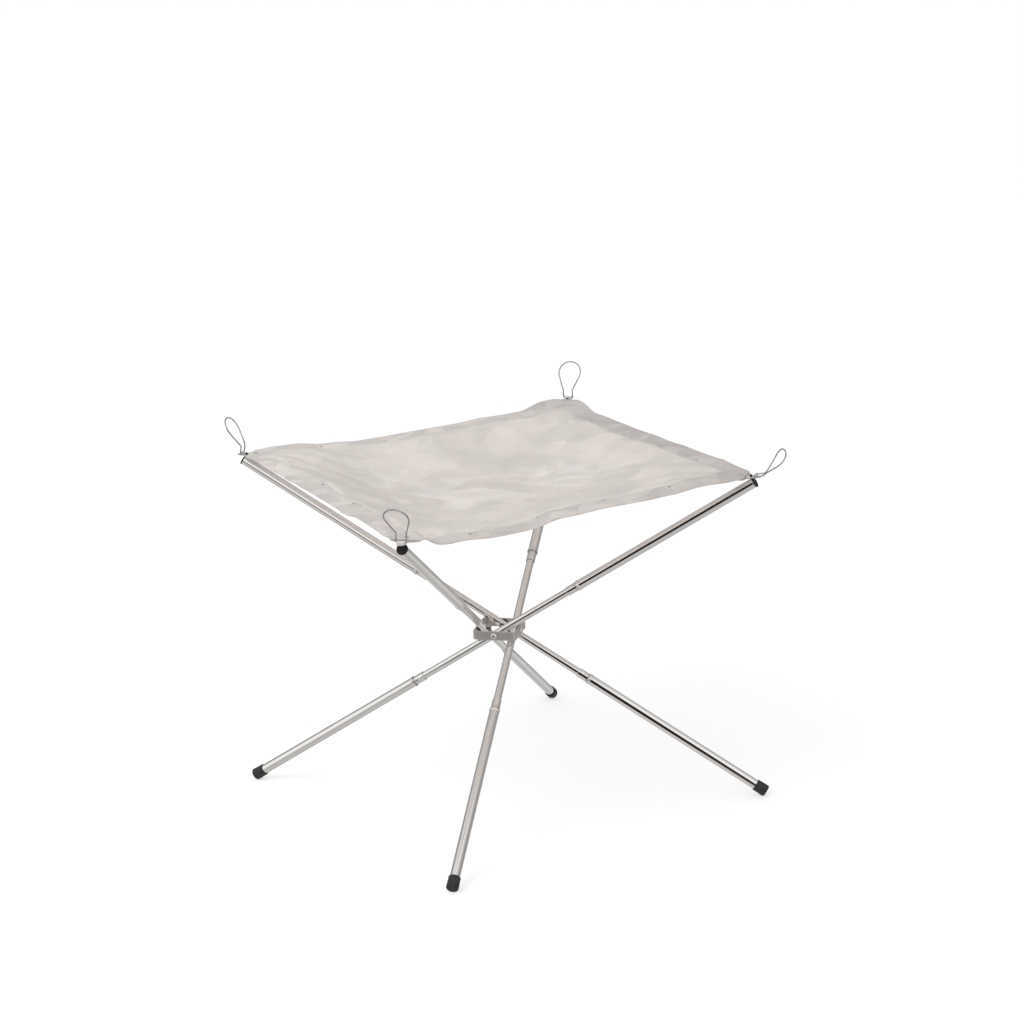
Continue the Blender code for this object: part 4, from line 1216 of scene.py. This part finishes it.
def make_mesh_sheet(material):
    """The woven sheet: two skins over one grid of (u, v) from -1 to 1, joined round the rim.

    A point lies at half the side times (u, v), drawn in by the edge bow and, towards the rim, by the share
    that brings it inside the cut corner's diagonal. The corner mask is a soft step of |u| + |v| less a share
    of how far the point lies off the diagonal, and it holds the sheet level on the plates. The lower skin
    hangs by sheet_fall outside that mask, and the upper one lies a thickness above it: thin in the field,
    thicker in the folded hem and full in the corners. The hem's value is 1 within its width of the rim and on
    the corners, and the tone's is the hem's, stronger at the back.
    """
    count = MESH_LINES
    size = count * count
    line = np.linspace(-1, 1, count)
    u, v = np.meshgrid(line, line, indexing="ij")
    sum_uv = np.abs(u) + np.abs(v)
    rim = np.maximum(np.abs(u), np.abs(v))
    limit = MESH_CUT * math.sqrt(2) * rim / (MESH_HALF * np.maximum(sum_uv, 1e-9))
    share = 1 - (1 - np.minimum(limit, 1)) * soft_step(rim, 0.7, 1.0)
    x = MESH_HALF * u * share - EDGE_BOW * u * (1 - v * v)
    y = MESH_HALF * v * share - EDGE_BOW * v * (1 - u * u)
    level_start = LEVEL_START - LEVEL_EARLIER_AT_BACK * np.clip(np.minimum(u, v), 0, 1)
    corner = soft_step(sum_uv - LEVEL_SLANT * np.abs(np.abs(u) - np.abs(v)), level_start, LEVEL_FULL)
    fall = blurred(sheet_fall(u, v)) * (1 - corner)
    edge = MESH_HALF * (1 - rim * share)
    hem = np.maximum(1 - soft_step(edge, HEM_WIDTH - 0.002, HEM_WIDTH), corner)
    thickness = FIELD_THICKNESS + HEM_EXTRA * hem + (MESH_THICKNESS - FIELD_THICKNESS - HEM_EXTRA) * corner
    lower = np.stack([x, y, -fall], axis=-1)
    upper = np.stack([x, y, thickness - fall], axis=-1)
    ids = np.arange(size).reshape(count, count)
    squares = squares_of(ids.T).reshape(-1, 4)
    loop = np.concatenate([ids[:-1, 0], ids[-1, :-1], ids[:0:-1, -1], ids[0, :0:-1]])
    following = np.roll(loop, -1)
    rim_faces = np.stack([loop, following, following + size, loop + size], axis=-1)
    faces = [squares + size, squares[:, ::-1], rim_faces]
    place = turned_axes(CORNER_TURN + math.pi / 4, height=MESH_BOTTOM)
    points = in_place(np.concatenate([lower, upper]).reshape(-1, 3), place)
    flat = np.stack([MESH_HALF * (u + 1), MESH_HALF * (v + 1)], axis=-1)
    sheet = skin(
        "woven_sheet", points, np.arange(2 * size), faces, material, uv=np.stack([flat, flat]), sharp=70.0,
    )
    behind = soft_step(u, 0.4, 0.85)
    tone = (0.3 + 0.7 * behind + 0.3 * soft_step(-v, 0.4, 0.85) * (1 - behind)) * hem
    for name, values in (("hem", hem), ("tone", tone)):
        mark_points(sheet, name, np.stack([values, values]))
    settle(sheet, "mesh", "mesh_sheet")


def make_floor():
    """A broad pale floor: white to the eye, and softly shaded where the stand keeps the light off it."""
    mesh = bpy.data.meshes.new("floor")
    corners = [(x * FLOOR_REACH, y * FLOOR_REACH, 0) for x, y in ((-1, -1), (1, -1), (1, 1), (-1, 1))]
    mesh.from_pydata(corners, [], [(0, 1, 2, 3)])
    material, tree, shader = new_material("floor_white", 1.0, 0.0, 0.0)
    feed(tree, (FLOOR_GREY,) * 3, shader.inputs["Base Color"])
    feed(tree, WHITE, shader.inputs["Emission Color"])
    feed(tree, FLOOR_GLOW, shader.inputs["Emission Strength"])
    mesh.materials.append(material)
    floor = put("floor", mesh)
    floor.visible_glossy = False


def grey_ramp(tree, value, stops):
    """A grey for each height of a direction, from -1 straight down to 1 straight up."""
    ramp = tree.nodes.new("ShaderNodeValToRGB")
    feed(tree, math_of(tree, "MULTIPLY_ADD", value, 0.5, 0.5), ramp.inputs[0])
    elements = ramp.color_ramp.elements
    while len(elements) < len(stops):
        elements.new(0.5)
    for element, (height, grey) in zip(elements, stops):
        element.position = (height + 1) / 2
        element.color = (grey, grey, grey, 1)
    return ramp.outputs[0]


def make_world():
    """A white studio, with the dark edges of a room in the reflections so that polished metal has form."""
    world = bpy.data.worlds.new("studio")
    bpy.context.scene.world = world
    world.use_nodes = True
    tree = world.node_tree
    tree.nodes.clear()
    x, y, z = parts_of(tree, coordinates(tree, "Generated"))
    front = grey_ramp(tree, z, FRONT_GREYS)
    back = grey_ramp(tree, z, BACK_GREYS)
    room = color_of(tree, range_of(tree, y, -0.2, 0.2), front, back)
    for way, height, lean, length, width, grey in CARDS:
        turn, tilt = math.radians(way), math.radians(lean)
        side = linear(tree, x, math.cos(turn), times(tree, y, math.sin(turn)))
        ahead = linear(tree, x, math.sin(turn), times(tree, y, -math.cos(turn)))
        aside = math_of(tree, "ARCTAN2", side, ahead)
        above = math_of(tree, "SUBTRACT", z, height)
        cosine, sine = math.cos(tilt), math.sin(tilt)
        along = linear(tree, aside, cosine / length, times(tree, above, sine / length))
        across = linear(tree, aside, -sine / width, times(tree, above, cosine / width))
        card = range_of(tree, distance_of(tree, along, across), 1.2, 0.8)
        room = color_of(tree, card, room, (grey, grey * 0.94, grey * 0.9))
    path = node_of(tree, "ShaderNodeLightPath").node.outputs
    shown = color_of(tree, path["Is Glossy Ray"], WHITE, room)
    shown = color_of(tree, path["Is Camera Ray"], shown, WHITE)
    background = node_of(tree, "ShaderNodeBackground", Color=shown)
    node_of(tree, "ShaderNodeOutputWorld", Surface=background)


def make_lamp():
    """One broad soft lamp above the left shoulder of the camera."""
    light = bpy.data.lights.new("softbox", "AREA")
    light.shape = "DISK"
    light.size = LAMP_SIZE
    light.energy = LAMP_POWER
    lamp = put("softbox", light)
    origin = np.array(LAMP_PLACE)
    back = unit(origin - np.array(LAMP_TARGET))
    right = unit(np.cross(np.array([0.0, 0.0, 1.0]), back))
    lamp.matrix_world = Matrix(axes(right, np.cross(back, right), back, origin).tolist())
    lamp.visible_glossy = False


def make_camera():
    """The camera at the photograph's angle, rolled a little, looking past the stand's middle."""
    sine, cosine = math.sin(CAMERA_AZIMUTH), math.cos(CAMERA_AZIMUTH)
    level_share = math.cos(CAMERA_ELEVATION)
    forward = np.array([-sine * level_share, cosine * level_share, -math.sin(CAMERA_ELEVATION)])
    level = unit(np.cross(forward, np.array([0.0, 0.0, 1.0])))
    upright = np.cross(level, forward)
    right = math.cos(CAMERA_ROLL) * level + math.sin(CAMERA_ROLL) * upright
    up = -math.sin(CAMERA_ROLL) * level + math.cos(CAMERA_ROLL) * upright
    back_off = -CAMERA_DISTANCE * forward + CAMERA_ASIDE * right + CAMERA_ABOVE * up
    data = bpy.data.cameras.new("camera")
    data.sensor_width = SENSOR_WIDTH
    data.lens = CAMERA_LENS
    data.clip_end = 100.0
    camera = put("camera", data)
    place = axes(right, up, -forward, np.array([0.0, 0.0, PIVOT_HEIGHT]) + back_off)
    camera.matrix_world = Matrix(place.tolist())
    bpy.context.scene.camera = camera


def main():
    finishes = make_materials()
    make_hub_ring(finishes["brushed_band"])
    for number in range(1, POLE_COUNT + 1):
        make_screw(number, finishes["bright_fastener"])
        make_spacer(number, finishes["spacer_plastic"])
        make_nut(number, finishes["dark_nut"])
        make_middle_tube(number, finishes["polished_steel"])
        make_outer_tubes(number, finishes["polished_steel"])
        make_foot_cap(number, finishes["cap_rubber"])
        make_plug(number, finishes["plug_plastic"])
        make_plate(number, finishes["plate_steel"])
        make_rivet(number, finishes["bright_fastener"])
        make_pull_ring(number, finishes["wire_steel"])
    make_mesh_sheet(finishes["woven_steel"])
    make_floor()
    make_world()
    make_lamp()
    make_camera()
    bpy.context.scene.view_settings.view_transform = "Standard"


main()
